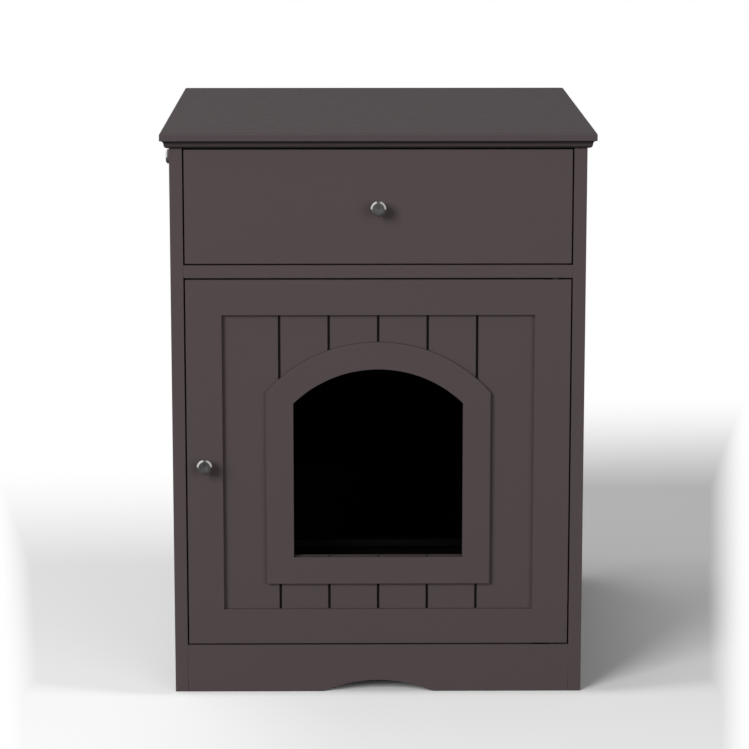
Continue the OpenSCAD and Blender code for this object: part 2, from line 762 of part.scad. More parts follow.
module drawer_back() color(beech) difference() {
    block(0, drawer_back_y - drawer_board_t, drawer_side_z, drawer_inner_w, drawer_board_t, drawer_side_h);
    bottom_space();
    at_back_screws() back_screw_bore();
}

module drawer_bottom() color(beech) block(0, inside_y - bottom_groove + slip, drawer_side_z + bottom_lift,
    drawer_inner_w + 2 * bottom_groove - 2 * slip,
    drawer_l - drawer_board_t + 2 * bottom_groove - 2 * slip, drawer_bottom_t);

module drawer_cam_bolts() color(steel) at_each(drawer_cams) cam_bolt();

module drawer_cam_discs() color(steel) at_each(drawer_cams) cam_disc(drawer_board_t);

module drawer_dowels() color(beech) at_each(drawer_dowel_places) dowel(small_dowel_d);

module drawer_back_screws() color(steel) at_back_screws() flat_screw(screw_d, screw_head_d, back_screw_l);

// ---------------------------------------------------------------- pivot hinges

// A hinge is drawn with its pivot at the origin, its gap from z = 0 up to the door, and the door above
module bottom_hinge() translate([pivot_x, front_mid_y, apron_h]) children();

module top_hinge() translate([pivot_x, front_mid_y, divider_z]) mirror([0, 0, 1]) children();

module both_hinges() {
    bottom_hinge() children();
    top_hinge() children();
}

module leaf_outline(play) translate([-leaf_l + leaf_end - play, -leaf_w / 2 - play])
    square([leaf_l + 2 * play, leaf_w + 2 * play]);

module leaf_screw_places() for (x = leaf_screws) translate([x, 0, 0]) children();

module leaf_screw_bores() leaf_screw_places() flat_screw_bore(leaf_screw_d, leaf_screw_head_d, leaf_screw_l);

// The cabinet's leaf lies under the gap, with its face at z = 0
module cabinet_leaf() difference() {
    translate([0, 0, -leaf_t]) linear_extrude(leaf_t) leaf_outline(0);
    translate([0, 0, -leaf_t - over]) cylinder(d = pivot_d + 2 * pin_fit, h = leaf_t + 2 * over);
    leaf_screw_bores();
}

// The bed of a leaf, with the holes for its screws and the pin's end
module leaf_bed() {
    translate([0, 0, -leaf_t]) linear_extrude(leaf_t + over) leaf_outline(slip);
    translate([0, 0, -leaf_t - pivot_reach - slip])
        cylinder(d = pivot_d + 2 * well_gap, h = leaf_t + pivot_reach + slip);
    leaf_screw_bores();
}

// The door's leaf faces the cabinet's across the gap
module door_side() translate([0, 0, front_gap]) mirror([0, 0, 1]) children();

module hinge_cabinet_leaves() color(brass) both_hinges() cabinet_leaf();

module hinge_door_leaves() color(brass) both_hinges() door_side() cabinet_leaf();

module hinge_pins() color(steel) both_hinges() translate([0, 0, -leaf_t - pivot_reach])
    cylinder(d = pivot_d, h = 2 * leaf_t + front_gap + 2 * pivot_reach);

module hinge_washers() color(black) both_hinges() difference() {
    cylinder(d = washer_d, h = front_gap);
    translate([0, 0, -over]) cylinder(d = pivot_d + 2 * pin_fit, h = front_gap + 2 * over);
}

module hinge_screws() leaf_screw_places() flat_screw(leaf_screw_d, leaf_screw_head_d, leaf_screw_l);

module hinge_cabinet_screws() color(brass) both_hinges() hinge_screws();

module hinge_door_screws() color(brass) both_hinges() door_side() hinge_screws();

// ---------------------------------------------------------------- magnetic catch

module at_catch_screws() for (side = [left, right])
    translate([catch_x + side * ear_screw_x, catch_y + catch_d / 2, divider_z - catch_ear_t])
        rotate([180, 0, 0]) children();

module magnet_space(play) block(catch_x, catch_y - play, divider_z - catch_h / 2 - magnet_h / 2 - play,
    magnet_w + 2 * play, magnet_d + 2 * play, magnet_h + 2 * play);

module catch_housing() color(black) difference() {
    union() {
        block(catch_x, catch_y, divider_z - catch_h, catch_w, catch_d, catch_h);
        block(catch_x, catch_y, divider_z - catch_ear_t, catch_flange_w, catch_d, catch_ear_t);
    }
    magnet_space(slip);
    at_catch_screws() screw_bore();
}

module catch_magnet() color(steel) magnet_space(0);

module catch_screws() color(steel) at_catch_screws() pan_screw();

module at_strike_screw() translate([catch_x, inside_y + strike_t, strike_z]) rotate([-90, 0, 0]) children();

module strike_bore() flat_screw_bore(leaf_screw_d, leaf_screw_head_d, leaf_screw_l);

module strike_plate() color(steel) difference() {
    block(catch_x, inside_y, strike_z - strike_h / 2, strike_w, strike_t, strike_h);
    at_strike_screw() strike_bore();
}

module strike_screw() color(steel) at_strike_screw()
    flat_screw(leaf_screw_d, leaf_screw_head_d, leaf_screw_l);

// ---------------------------------------------------------------- door

module panel_space() block(0, front_y + panel_recess, frame_in_z - rabbet_w, frame_in_w + 2 * rabbet_w,
    panel_t + over, frame_in_h + 2 * rabbet_w);

module at_door_dowels() both_sides() for (z = concat(
        [for (in = door_dowel_ins) door_z + in], [for (in = door_dowel_ins) door_top - in]))
    translate([-frame_in_w / 2, front_mid_y, z]) rotate([0, 90, 0]) children();

module door_dowel(play) translate([0, 0, -door_dowel_half - play])
    cylinder(d = small_dowel_d + 2 * play, h = 2 * (door_dowel_half + play));

module door_stile(side) color(paint) difference() {
    block(side * (door_w - stile_w) / 2, front_y, door_z, stile_w, board_t, door_h);
    panel_space();
    at_door_dowels() door_dowel(slip);
    if (side == right) both_hinges() door_side() leaf_bed();
    if (side == left) at_door_knob() knob_bore();
    if (side == left) at_strike_screw() strike_bore();
}

module door_stile_left() door_stile(left);

module door_stile_right() door_stile(right);

module door_rail(z) color(paint) difference() {
    block(0, front_y, z, frame_in_w, board_t, rail_h);
    panel_space();
    at_door_dowels() door_dowel(slip);
}

module door_rail_top() door_rail(door_top - rail_h);

module door_rail_bottom() door_rail(door_z);

module door_dowels() color(beech) at_door_dowels() door_dowel(0);

// The entrance's outline, grown outwards by a margin: straight sides and sill under one low arc
module entrance(grow) intersection() {
    translate([-entrance_w / 2 - grow, sill_z - grow])
        square([entrance_w + 2 * grow, arch_top - sill_z + 2 * grow]);
    union() {
        translate([0, arch_z]) circle(r = arch_r + grow);
        translate([-entrance_w / 2 - grow, sill_z - grow])
            square([entrance_w + 2 * grow, arch_z - sill_z + grow]);
    }
}

module door_panel() color(paint) difference() {
    block(0, front_y + panel_recess, frame_in_z - rabbet_w + slip, frame_in_w + 2 * (rabbet_w - slip),
        panel_t, frame_in_h + 2 * (rabbet_w - slip));
    for (i = [0:plank_grooves - 1])
        block((i - (plank_grooves - 1) / 2) * plank_pitch, front_y + panel_recess - over,
            frame_in_z - rabbet_w, groove_w, groove_depth + over, frame_in_h + 2 * rabbet_w);
    along_y(front_y, board_t + over) entrance(0);
}

module door_arch_surround() color(paint) along_y(front_y, panel_recess) difference() {
    entrance(surround_w);
    entrance(0);
}

// ---------------------------------------------------------------- litter pan

// The pan's outline at a height, shrunk by a margin
module pan_outline(shrink) offset(r = pan_corner_r - shrink, $fn = pan_fn)
    square([pan_w - 2 * (pan_rim_w + pan_corner_r), pan_d - 2 * (pan_rim_w + pan_corner_r)],
        center = true);

// A tapered block between two outlines
module pan_form(z0, shrink0, z1, shrink1) hull() {
    translate([0, 0, z0]) linear_extrude(pan_slice) pan_outline(shrink0);
    translate([0, 0, z1 - pan_slice]) linear_extrude(pan_slice) pan_outline(shrink1);
}

module litter_pan() color(pan_black) translate([0, pan_mid_y, apron_h]) difference() {
    union() {
        pan_form(0, pan_taper, pan_h, 0);
        translate([0, 0, pan_h - pan_lip_h]) linear_extrude(pan_lip_h) pan_outline(-pan_rim_w);
    }
    pan_form(pan_wall, pan_taper + pan_wall, pan_h + over, pan_wall);
    translate([0, 0, pan_h - pan_lip_h - over]) linear_extrude(pan_lip_h + over - pan_wall) difference() {
        pan_outline(pan_wall - pan_rim_w);
        pan_outline(0);
    }
}

top_board();
side_panel_left();
side_panel_right();
divider_shelf();
floor_board();
apron();
rear_rail();
back_panel();
back_panel_pins();
carcass_cam_bolts();
carcass_cam_discs();
carcass_dowels();
side_knob();
side_knob_screw();
cabinet_runner_left();
cabinet_runner_right();
cabinet_runner_screws();
front_roller_pins();
hinge_cabinet_leaves();
hinge_pins();
hinge_washers();
hinge_cabinet_screws();
catch_housing();
catch_magnet();
catch_screws();
drawer_front();
drawer_side_left();
drawer_side_right();
drawer_back();
drawer_bottom();
drawer_cam_bolts();
drawer_cam_discs();
drawer_dowels();
drawer_back_screws();
drawer_knob();
drawer_knob_screw();
drawer_runner_left();
drawer_runner_right();
drawer_runner_screws();
rear_roller_pins();
front_roller_left();
front_roller_right();
rear_roller_left();
rear_roller_right();
door_stile_left();
door_stile_right();
door_rail_top();
door_rail_bottom();
door_panel();
door_arch_surround();
door_dowels();
hinge_door_leaves();
hinge_door_screws();
strike_plate();
strike_screw();
door_knob();
door_knob_screw();
litter_pan();
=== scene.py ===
# Drawer litter box: the looks round the fixed frame. Metres, +Z up, the front faces -Y
import math
import bmesh
import bpy
import numpy as np
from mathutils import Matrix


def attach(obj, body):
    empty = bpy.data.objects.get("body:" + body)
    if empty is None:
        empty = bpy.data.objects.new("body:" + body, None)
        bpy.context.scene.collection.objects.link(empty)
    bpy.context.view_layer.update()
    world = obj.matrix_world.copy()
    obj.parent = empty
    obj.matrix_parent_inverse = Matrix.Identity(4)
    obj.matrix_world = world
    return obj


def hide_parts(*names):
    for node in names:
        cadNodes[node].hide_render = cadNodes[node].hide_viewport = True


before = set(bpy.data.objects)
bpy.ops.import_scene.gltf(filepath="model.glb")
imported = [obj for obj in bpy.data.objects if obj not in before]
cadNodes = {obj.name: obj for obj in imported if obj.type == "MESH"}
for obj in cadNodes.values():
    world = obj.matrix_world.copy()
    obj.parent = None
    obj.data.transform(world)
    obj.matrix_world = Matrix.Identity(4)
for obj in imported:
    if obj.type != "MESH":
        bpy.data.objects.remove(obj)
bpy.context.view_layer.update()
scene = bpy.context.scene
print("stage: frame loaded with", len(cadNodes), "parts")

mm = 0.001
frontY = -264.75          # outer face of the door, the drawer front and the cabinet's front edges
backY = 275.25
insideY = -249.75         # back face of the door and the drawer front

# meshes from grids of points


def ringFaces(rows, count, closeRows=False):
    # quads between neighbouring rows of a grid whose columns close on themselves
    last = rows if closeRows else rows - 1
    i, j = np.meshgrid(np.arange(last), np.arange(count), indexing="ij")
    k, up = (j + 1) % count, (i + 1) % rows
    quads = np.stack([i * count + j, i * count + k, up * count + k, up * count + j], -1)
    return quads.reshape(-1, 4)


def meshVolume(points, quads, caps):
    # six times the volume: the sum of a . (b x c) over triangle fans
    fans = [quads[:, [0, 1, 2]], quads[:, [0, 2, 3]]]
    for cap in caps:
        fans.append(np.stack([np.full(len(cap) - 2, cap[0]), cap[1:-1], cap[2:]], -1))
    a, b, c = points[np.concatenate(fans)].transpose(1, 0, 2)
    return float(np.einsum("ij,ij->", a, np.cross(b, c)))


def addMesh(name, points, faces, edge=None, sharp=35, groove=None):
    # points in metres; the masks, one value a point, are rubbed paint and painted shade;
    # edges turned by more than sharp degrees stay crisp
    mesh = bpy.data.meshes.new(name)
    mesh.from_pydata(points.tolist(), [], faces)
    mesh.polygons.foreach_set("use_smooth", np.ones(len(mesh.polygons), bool))
    mesh.set_sharp_from_angle(angle=math.radians(sharp))
    for label, values in (("edge", edge), ("groove", groove)):
        mask = mesh.attributes.new(label, "FLOAT", "POINT")
        if values is not None:
            mask.data.foreach_set("value", np.ascontiguousarray(values, np.float32).ravel())
    mesh.validate()
    piece = bpy.data.objects.new(name, mesh)
    scene.collection.objects.link(piece)
    return piece


def addShell(name, grid, edge=None, closeRows=False, sharp=35, groove=None):
    # grid is rows x columns x 3 in millimetres: each row is a closed ring, the ends are capped
    rows, count = grid.shape[:2]
    points = grid.reshape(-1, 3) * mm
    quads = ringFaces(rows, count, closeRows)
    ends = [] if closeRows else [np.arange(count)[::-1], np.arange(count) + (rows - 1) * count]
    turn = -1 if meshVolume(points, quads, ends) < 0 else 1
    faces = quads[:, ::turn].tolist() + [end[::turn].tolist() for end in ends]
    masks = [None if mask is None else np.broadcast_to(mask, (rows, count))
             for mask in (edge, groove)]
    return addMesh(name, points, faces, masks[0], sharp, masks[1])


def keepFlat(piece):
    # the broad faces stay flat while the eased edges shade round
    weighted = piece.modifiers.new("flatFaces", "WEIGHTED_NORMAL")
    weighted.keep_sharp = True
    weighted.weight = 100
    return piece


def settle(piece, body, slotName, material, *nodes):
    # the piece moves with the body, has one material and stands for the nodes
    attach(piece, body)
    if nodes:
        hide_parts(*nodes)
    piece.data.materials.clear()
    piece.data.materials.append(material)


def cornerTurns(steps):
    # the angles of four quarter circles, anticlockwise from the lower right corner, as (4, n)
    return np.array([-0.5, 0, 0.5, 1])[:, None] * np.pi + np.linspace(0, np.pi / 2, steps + 1)


def roundRect(u0, u1, v0, v1, r, steps=4):
    # rectangle with quarter circles at its corners, anticlockwise, as (n, 2)
    turn = cornerTurns(steps)
    centre = np.array([[u1 - r, v0 + r], [u1 - r, v1 - r], [u0 + r, v1 - r], [u0 + r, v0 + r]])
    return (centre[:, None] + r * np.stack([np.cos(turn), np.sin(turn)], -1)).reshape(-1, 2)


def inwards(outline, distance):
    # each point goes in along its mitre: p - d (n1 + n2) / (1 + n1 . n2),
    # where n1 and n2 are the outward normals of the edges that meet there
    ahead = np.roll(outline, -1, 0) - outline
    normal = np.stack([ahead[:, 1], -ahead[:, 0]], -1)
    normal = normal / np.linalg.norm(ahead, axis=1, keepdims=True)
    before = np.roll(normal, 1, 0)
    mitre = (normal + before) / (1 + (normal * before).sum(1, keepdims=True))
    return outline - distance * mitre


def easedPlate(name, outline, low, high, ease, order, steps=4):
    # a flat board: at both faces the outline goes in by r(1 - sin t) where the depth goes in
    # by r(1 - cos t); order says which axes hold the outline and the depth
    t = np.linspace(0, np.pi / 2, steps + 1)
    inset = np.concatenate([ease * (1 - np.sin(t)), ease * (1 - np.sin(t[::-1]))])
    depth = np.concatenate([low + ease * (1 - np.cos(t)), high - ease * (1 - np.cos(t[::-1]))])
    flat = np.stack([inwards(outline, d) for d in inset])
    deep = np.broadcast_to(depth[:, None, None], flat.shape[:2] + (1,))
    grid = np.concatenate([flat, deep], -1)
    rub = np.concatenate([np.sin(2 * t), np.sin(2 * t[::-1])])
    return keepFlat(addShell(name, grid[..., order], rub[:, None]))


mergeLook = {"digits": 7, "flatAngle": 0.4, "leastTurn": 0.6, "sharp": 30, "reach": 0.02,
             "segments": 3}


def easedBoard(name, node, planes, ease, body, slotName, material):
    # a merged copy of a board whose edges in the named planes, (axis, millimetres), are bevelled;
    # an edge lies in a plane when both its ends are within the reach of it
    source = cadNodes[node].data
    points = np.zeros(len(source.vertices) * 3)
    source.vertices.foreach_get("co", points)
    points, index = np.unique(np.round(points.reshape(-1, 3), mergeLook["digits"]), axis=0,
                              return_inverse=True)
    corners = np.zeros(len(source.loops), int)
    source.loops.foreach_get("vertex_index", corners)
    tri = index.ravel()[corners].reshape(-1, 3)
    tri = tri[(tri[:, 0] != tri[:, 1]) & (tri[:, 1] != tri[:, 2]) & (tri[:, 2] != tri[:, 0])]
    piece = addMesh(name, points, tri.tolist(), None, mergeLook["sharp"])
    work = bmesh.new()
    work.from_mesh(piece.data)
    bmesh.ops.dissolve_limit(work, angle_limit=math.radians(mergeLook["flatAngle"]),
                             verts=work.verts, edges=work.edges)
    turned = np.array([edge.calc_face_angle(0) > mergeLook["leastTurn"] for edge in work.edges])
    work.to_mesh(piece.data)
    work.free()
    place = np.zeros(len(piece.data.vertices) * 3)
    piece.data.vertices.foreach_get("co", place)
    place = place.reshape(-1, 3)
    ends = np.zeros(len(piece.data.edges) * 2, int)
    piece.data.edges.foreach_get("vertices", ends)
    ends = ends.reshape(-1, 2)
    near = np.zeros(len(ends), bool)
    for axis, at in planes:
        near |= (np.abs(place[ends][..., axis] - at * mm) < mergeLook["reach"] * mm).all(1)
    weight = piece.data.attributes.new("bevel_weight_edge", "FLOAT", "EDGE")
    weight.data.foreach_set("value", (near & turned).astype(np.float32))
    bevel = piece.modifiers.new("easedEdges", "BEVEL")
    bevel.limit_method = "WEIGHT"
    bevel.width = ease * mm
    bevel.segments = mergeLook["segments"]
    bevel.use_clamp_overlap = False
    settle(keepFlat(piece), body, slotName, material, node)


# shader nodes


def feed(tree, node, values):
    # each value is a socket to link or a constant to set
    for key, value in values.items():
        if isinstance(value, bpy.types.NodeSocket):
            tree.links.new(value, node.inputs[key])
        else:
            node.inputs[key].default_value = value
    return node


def put(tree, kind, values=None, **settings):
    # a new node with its settings, fed with its inputs' values
    node = tree.nodes.new(kind if kind.startswith("Node") else "ShaderNode" + kind)
    for key, value in settings.items():
        setattr(node, key, value)
    return feed(tree, node, values or {})


def maths(tree, operation, a, b=0.0, clamp=False):
    return put(tree, "Math", {0: a, 1: b}, operation=operation, use_clamp=clamp).outputs[0]


def ramp(tree, value, low, high, toLow=0.0, toHigh=1.0):
    # a smooth step from toLow at low to toHigh at high
    limits = {"Value": value, "From Min": low, "From Max": high, "To Min": toLow,
              "To Max": toHigh}
    return put(tree, "MapRange", limits, interpolation_type="SMOOTHSTEP").outputs[0]


def blendColour(tree, factor, a, b):
    # the colour sockets of a mix node are its inputs 6 and 7 and its output 2
    node = put(tree, "Mix", data_type="RGBA")
    return feed(tree, node, {0: factor, 6: a, 7: b}).outputs[2]


def shaderGroup(name, inputs, outputs, build):
    # inputs are (label, socket kind, value); build gets the tree and the entry's sockets,
    # and returns the outputs in order
    tree = bpy.data.node_groups.new(name, "ShaderNodeTree")
    for label, kind, value in inputs:
        tree.interface.new_socket(label, in_out="INPUT", socket_type=kind).default_value = value
    for label, kind in outputs:
        tree.interface.new_socket(label, in_out="OUTPUT", socket_type=kind)
    entry = put(tree, "NodeGroupInput")
    leave = put(tree, "NodeGroupOutput")
    for (label, kind), socket in zip(outputs, build(tree, entry.outputs)):
        tree.links.new(socket, leave.inputs[label])
    return tree


def useGroup(tree, group, values):
    return feed(tree, put(tree, "Group", node_tree=group), values).outputs


def noise(tree, entry, scale, detail, **more):
    # entry holds the "Vector" socket of a group's inputs or of another node's outputs
    values = {"Vector": entry["Vector"], "Scale": scale, "Detail": detail, **more}
    return put(tree, "TexNoise", values).outputs[0]


# the noises' settings below are (scale, detail)
skinLook = {"fineDetail": 2.0, "broad": (5.0, 3.0), "cloud": (60.0, 4.0), "toneSpan": 0.7,
            "toneLeast": 0.15, "cloudShare": 0.6}


def buildPaintSkin(tree, entry):
    # roller stipple as height, and broad and middling noise for the tone and the sheen
    fine = noise(tree, entry, entry["Stipple"], skinLook["fineDetail"])
    broad = noise(tree, entry, *skinLook["broad"])
    cloud = noise(tree, entry, *skinLook["cloud"])
    tone = put(tree, "Math", {0: broad, 1: skinLook["toneSpan"], 2: skinLook["toneLeast"]},
               operation="MULTIPLY_ADD").outputs[0]
    sheen = maths(tree, "ADD", maths(tree, "MULTIPLY", cloud, skinLook["cloudShare"]),
                  maths(tree, "MULTIPLY", fine, 1 - skinLook["cloudShare"]))
    return tone, sheen, fine


rubLook = {"patches": (42.0, 5.0), "broken": 0.65, "edge": (0.35, 0.95), "patch": (0.42, 0.68)}


def buildEdgeRubAndShade(tree, entry):
    # the piece's own edge attribute, broken up by noise, for rubbed paint, and its mask of
    # painted shade
    edge = put(tree, "Attribute", attribute_name="edge").outputs["Fac"]
    patch = noise(tree, entry, *rubLook["patches"], Roughness=rubLook["broken"])
    worn = maths(tree, "MULTIPLY", ramp(tree, edge, *rubLook["edge"]),
                 ramp(tree, patch, *rubLook["patch"]))
    groove = put(tree, "Attribute", attribute_name="groove").outputs["Fac"]
    return maths(tree, "MULTIPLY", worn, entry["Amount"]), groove


bayLook = {"middle": (0.0, 0.00675, 0.2765), "half": (0.2262, 0.2562, 0.2203)}   # metres


# painted shade: the paint goes near black inside the litter bay
def buildBayShadeMask(tree, entry):
    # one inside the litter bay, behind the door: |place - middle| < half size on every axis
    away = put(tree, "VectorMath", {0: entry["Vector"], 1: bayLook["middle"]},
               operation="SUBTRACT")
    size = put(tree, "VectorMath", {0: away.outputs[0]}, operation="ABSOLUTE")
    part = put(tree, "SeparateXYZ", {0: size.outputs[0]}).outputs
    inX, inY, inZ = [maths(tree, "LESS_THAN", part[i], bayLook["half"][i]) for i in range(3)]
    return (maths(tree, "MULTIPLY", inX, maths(tree, "MULTIPLY", inY, inZ)),)


metalLook = {"drawn": (1.0, 1.0, 0.04), "lineDetail": 3.0, "marks": (210.0, 4.0),
             "mark": (0.45, 0.75), "dullRough": 0.08, "bump": 0.3}


def buildBrushed(tree, entry):
    # noise drawn out along one direction, as brushing or drawing leaves it
    drawn = put(tree, "Mapping", {"Vector": entry["Vector"], "Rotation": entry["Turn"],
                                  "Scale": metalLook["drawn"]}).outputs
    lines = noise(tree, drawn, entry["Fineness"], metalLook["lineDetail"])
    marks = noise(tree, entry, *metalLook["marks"])
    return lines, ramp(tree, marks, *metalLook["mark"])


grainLook = {
    "along": (1.0, 0.06, 1.0), "bend": (18.0, 4.0), "pores": (900.0, 2.0),
    "rings": {"Scale": 26.0, "Distortion": 5.0, "Detail": 3.0, "Detail Scale": 2.0},
}


def buildGrain(tree, entry):
    # growth rings as a stretched, bent wave with fine pores along it
    along = put(tree, "Mapping", {"Vector": entry["Vector"], "Scale": grainLook["along"]}).outputs
    rings = put(tree, "TexWave", {"Vector": along[0], **grainLook["rings"]}).outputs[1]
    bend = noise(tree, along, *grainLook["bend"])
    return maths(tree, "MULTIPLY", rings, bend), noise(tree, along, *grainLook["pores"])


mouldLook = {"bloom": (25.0, 4.0), "bump": 0.4}


def buildMouldSkin(tree, entry):
    # spark-eroded mould texture, with a little bloom
    skin = put(tree, "TexVoronoi", {"Vector": entry["Vector"], "Scale": entry["Fineness"]})
    return skin.outputs["Distance"], noise(tree, entry, *mouldLook["bloom"])


vectorIn = ("Vector", "NodeSocketVector", (0.0, 0.0, 0.0))
floatOut = "NodeSocketFloat"
paintSkin = shaderGroup("paintSkin", [vectorIn, ("Stipple", floatOut, 900.0)],
                        [("Tone", floatOut), ("Sheen", floatOut), ("Height", floatOut)],
                        buildPaintSkin)
edgeRubAndShade = shaderGroup("edgeRubAndShade", [vectorIn, ("Amount", floatOut, 1.0)],
                      [("Mask", floatOut), ("PaintedShade", floatOut)], buildEdgeRubAndShade)
bayShadeMask = shaderGroup("bayShadeMask", [vectorIn], [("Mask", floatOut)], buildBayShadeMask)
brushed = shaderGroup("brushed", [vectorIn, ("Turn", "NodeSocketVector", (0.0, 0.0, 0.0)),
                                  ("Fineness", floatOut, 1500.0)],
                      [("Lines", floatOut), ("Marks", floatOut)], buildBrushed)
grain = shaderGroup("grain", [vectorIn], [("Rings", floatOut), ("Pores", floatOut)], buildGrain)
mouldSkin = shaderGroup("mouldSkin", [vectorIn, ("Fineness", floatOut, 700.0)],
                        [("Skin", floatOut), ("Bloom", floatOut)], buildMouldSkin)


def startMaterial(name, constants):
    # the shader's own sockets hold every plain number
    material = bpy.data.materials.new(name)
    material.use_nodes = True
    tree = material.node_tree
    tree.nodes.clear()
    shader = put(tree, "BsdfPrincipled", constants)
    put(tree, "OutputMaterial", {"Surface": shader.outputs[0]})
    place = put(tree, "TexCoord").outputs["Object"]
    return material, tree, shader, place


def bumpFrom(tree, height, strength, distance):
    values = {"Height": height, "Strength": strength, "Distance": distance}
    return put(tree, "Bump", values).outputs[0]


def rgba(colour):
    return (*colour, 1.0)


middling = (0.3, 0.7)    # the span that most of a noise's values lie in

paintLook = {
    "colour": (0.0850, 0.0655, 0.0673), "shade": (0.0810, 0.0622, 0.0640),
    # painted shade: the near black painted inside the litter bay
    "rub": (0.105, 0.084, 0.085), "bay": (0.0016, 0.0015, 0.0015),
    # painted shade: the near black that the grooves and the top's cove are painted towards
    "groove": (0.010, 0.0075, 0.0078),
    "rough": (0.54, 0.60), "rubSheen": 0.12, "bayRough": 0.4, "stipple": 700.0, "bump": 0.5,
    "depth": 0.00004, "rubAmount": 0.35, "shine": 0.22,
}


def paintMaterial(name, look):
    material, tree, shader, place = startMaterial(name, {"Specular IOR Level": look["shine"]})
    skin = useGroup(tree, paintSkin, {"Vector": place, "Stipple": look["stipple"]})
    edges = useGroup(tree, edgeRubAndShade, {"Vector": place, "Amount": look["rubAmount"]})
    rub = edges["Mask"]
    bay = useGroup(tree, bayShadeMask, {"Vector": place})["Mask"]
    paint = blendColour(tree, skin["Tone"], rgba(look["shade"]), rgba(look["colour"]))
    paint = blendColour(tree, rub, paint, rgba(look["rub"]))
    # painted shade: the paint goes towards near black in the plank grooves and under the top's
    # nose
    paint = blendColour(tree, edges["PaintedShade"], paint, rgba(look["groove"]))
    # painted shade: near black inside the litter bay, behind the door
    paint = blendColour(tree, bay, paint, rgba(look["bay"]))
    rough = ramp(tree, skin["Sheen"], *middling, *look["rough"])
    rough = maths(tree, "SUBTRACT", rough, maths(tree, "MULTIPLY", rub, look["rubSheen"]))
    rough = maths(tree, "ADD", rough, maths(tree, "MULTIPLY", bay, look["bayRough"]), clamp=True)
    bump = bumpFrom(tree, skin["Height"], look["bump"], look["depth"])
    feed(tree, shader, {"Base Color": paint, "Roughness": rough, "Normal": bump})
    return material


def metalMaterial(name, look):
    material, tree, shader, place = startMaterial(name, {"Metallic": 1.0})
    mark = useGroup(tree, brushed, {"Vector": place, "Turn": look["turn"],
                                    "Fineness": look["fineness"]})
    metal = blendColour(tree, mark["Marks"], rgba(look["colour"]), rgba(look["dull"]))
    rough = ramp(tree, mark["Lines"], *middling, *look["rough"])
    dull = maths(tree, "MULTIPLY", mark["Marks"], metalLook["dullRough"])
    rough = maths(tree, "ADD", rough, dull)
    bump = bumpFrom(tree, mark["Lines"], metalLook["bump"], look["depth"])
    feed(tree, shader, {"Base Color": metal, "Roughness": rough, "Normal": bump})
    return material


def plasticMaterial(name, look):
    material, tree, shader, place = startMaterial(name, {"Specular IOR Level": look["shine"]})
    skin = useGroup(tree, mouldSkin, {"Vector": place, "Fineness": look["fineness"]})
    colour = blendColour(tree, skin["Bloom"], rgba(look["colour"]), rgba(look["bloom"]))
    rough = ramp(tree, skin["Bloom"], *middling, *look["rough"])
    bump = bumpFrom(tree, skin["Skin"], mouldLook["bump"], look["depth"])
    feed(tree, shader, {"Base Color": colour, "Roughness": rough, "Normal": bump})
    return material


def beechMaterial(name, look):
    material, tree, shader, place = startMaterial(name, {"Specular IOR Level": look["shine"]})
    wood = useGroup(tree, grain, {"Vector": place})
    colour = blendColour(tree, wood["Rings"], rgba(look["early"]), rgba(look["late"]))
    rough = ramp(tree, wood["Pores"], *middling, *look["rough"])
    bump = bumpFrom(tree, wood["Pores"], look["bump"], look["depth"])
    feed(tree, shader, {"Base Color": colour, "Roughness": rough, "Normal": bump})
    return material


paintedBoard = paintMaterial("paintedBoard", paintLook)
drawerBoard = paintMaterial("drawerBoard", {**paintLook, "rough": (0.48, 0.6)})
# painted shade: a copy of the paint with almost no shine, so the bay's floor stays dark
bayShadeBoard = paintMaterial("bayShadeBoard", {**paintLook, "shine": 0.02})
# painted shade: a copy of the paint for the top, darker and less red, for how the light falls on
# it
topBoardPaintedShade = paintMaterial("topBoardPaintedShade", {**paintLook, "colour": (0.0785, 0.0635, 0.0663),
                                      "shade": (0.0750, 0.0605, 0.0632)})
polishedNickel = metalMaterial("polishedNickel", {
    "colour": (0.62, 0.61, 0.60), "dull": (0.50, 0.49, 0.48), "rough": (0.10, 0.16),
    "turn": (0.0, 0.0, 0.0), "fineness": 1200.0, "depth": 0.000004})
satinNickel = metalMaterial("satinNickel", {
    "colour": (0.40, 0.39, 0.39), "dull": (0.22, 0.215, 0.215), "rough": (0.26, 0.38),
    "turn": (0.0, 1.571, 0.0), "fineness": 2600.0, "depth": 0.00001})
hingeBrass = metalMaterial("hingeBrass", {
    "colour": (0.60, 0.42, 0.16), "dull": (0.42, 0.28, 0.10), "rough": (0.24, 0.40),
    "turn": (0.0, 1.571, 0.0), "fineness": 1800.0, "depth": 0.00001})
zincSteel = metalMaterial("zincSteel", {
    "colour": (0.56, 0.57, 0.59), "dull": (0.42, 0.43, 0.45), "rough": (0.26, 0.44),
    "turn": (0.6, 0.4, 0.0), "fineness": 1300.0, "depth": 0.00001})
runnerCoat = plasticMaterial("runnerCoat", {
    "colour": (0.70, 0.70, 0.67), "bloom": (0.64, 0.64, 0.61), "rough": (0.34, 0.48),
    "shine": 0.5, "fineness": 900.0, "depth": 0.00002})
rollerNylon = plasticMaterial("rollerNylon", {
    "colour": (0.80, 0.79, 0.73), "bloom": (0.72, 0.71, 0.65), "rough": (0.38, 0.52),
    "shine": 0.45, "fineness": 1400.0, "depth": 0.00001})
blackPlastic = plasticMaterial("blackPlastic", {
    "colour": (0.012, 0.012, 0.012), "bloom": (0.018, 0.018, 0.018), "rough": (0.38, 0.52),
    "shine": 0.4, "fineness": 1500.0, "depth": 0.00002})
magnetFerrite = plasticMaterial("magnetFerrite", {
    "colour": (0.05, 0.05, 0.053), "bloom": (0.035, 0.035, 0.037), "rough": (0.5, 0.66),
    "shine": 0.5, "fineness": 2500.0, "depth": 0.00003})
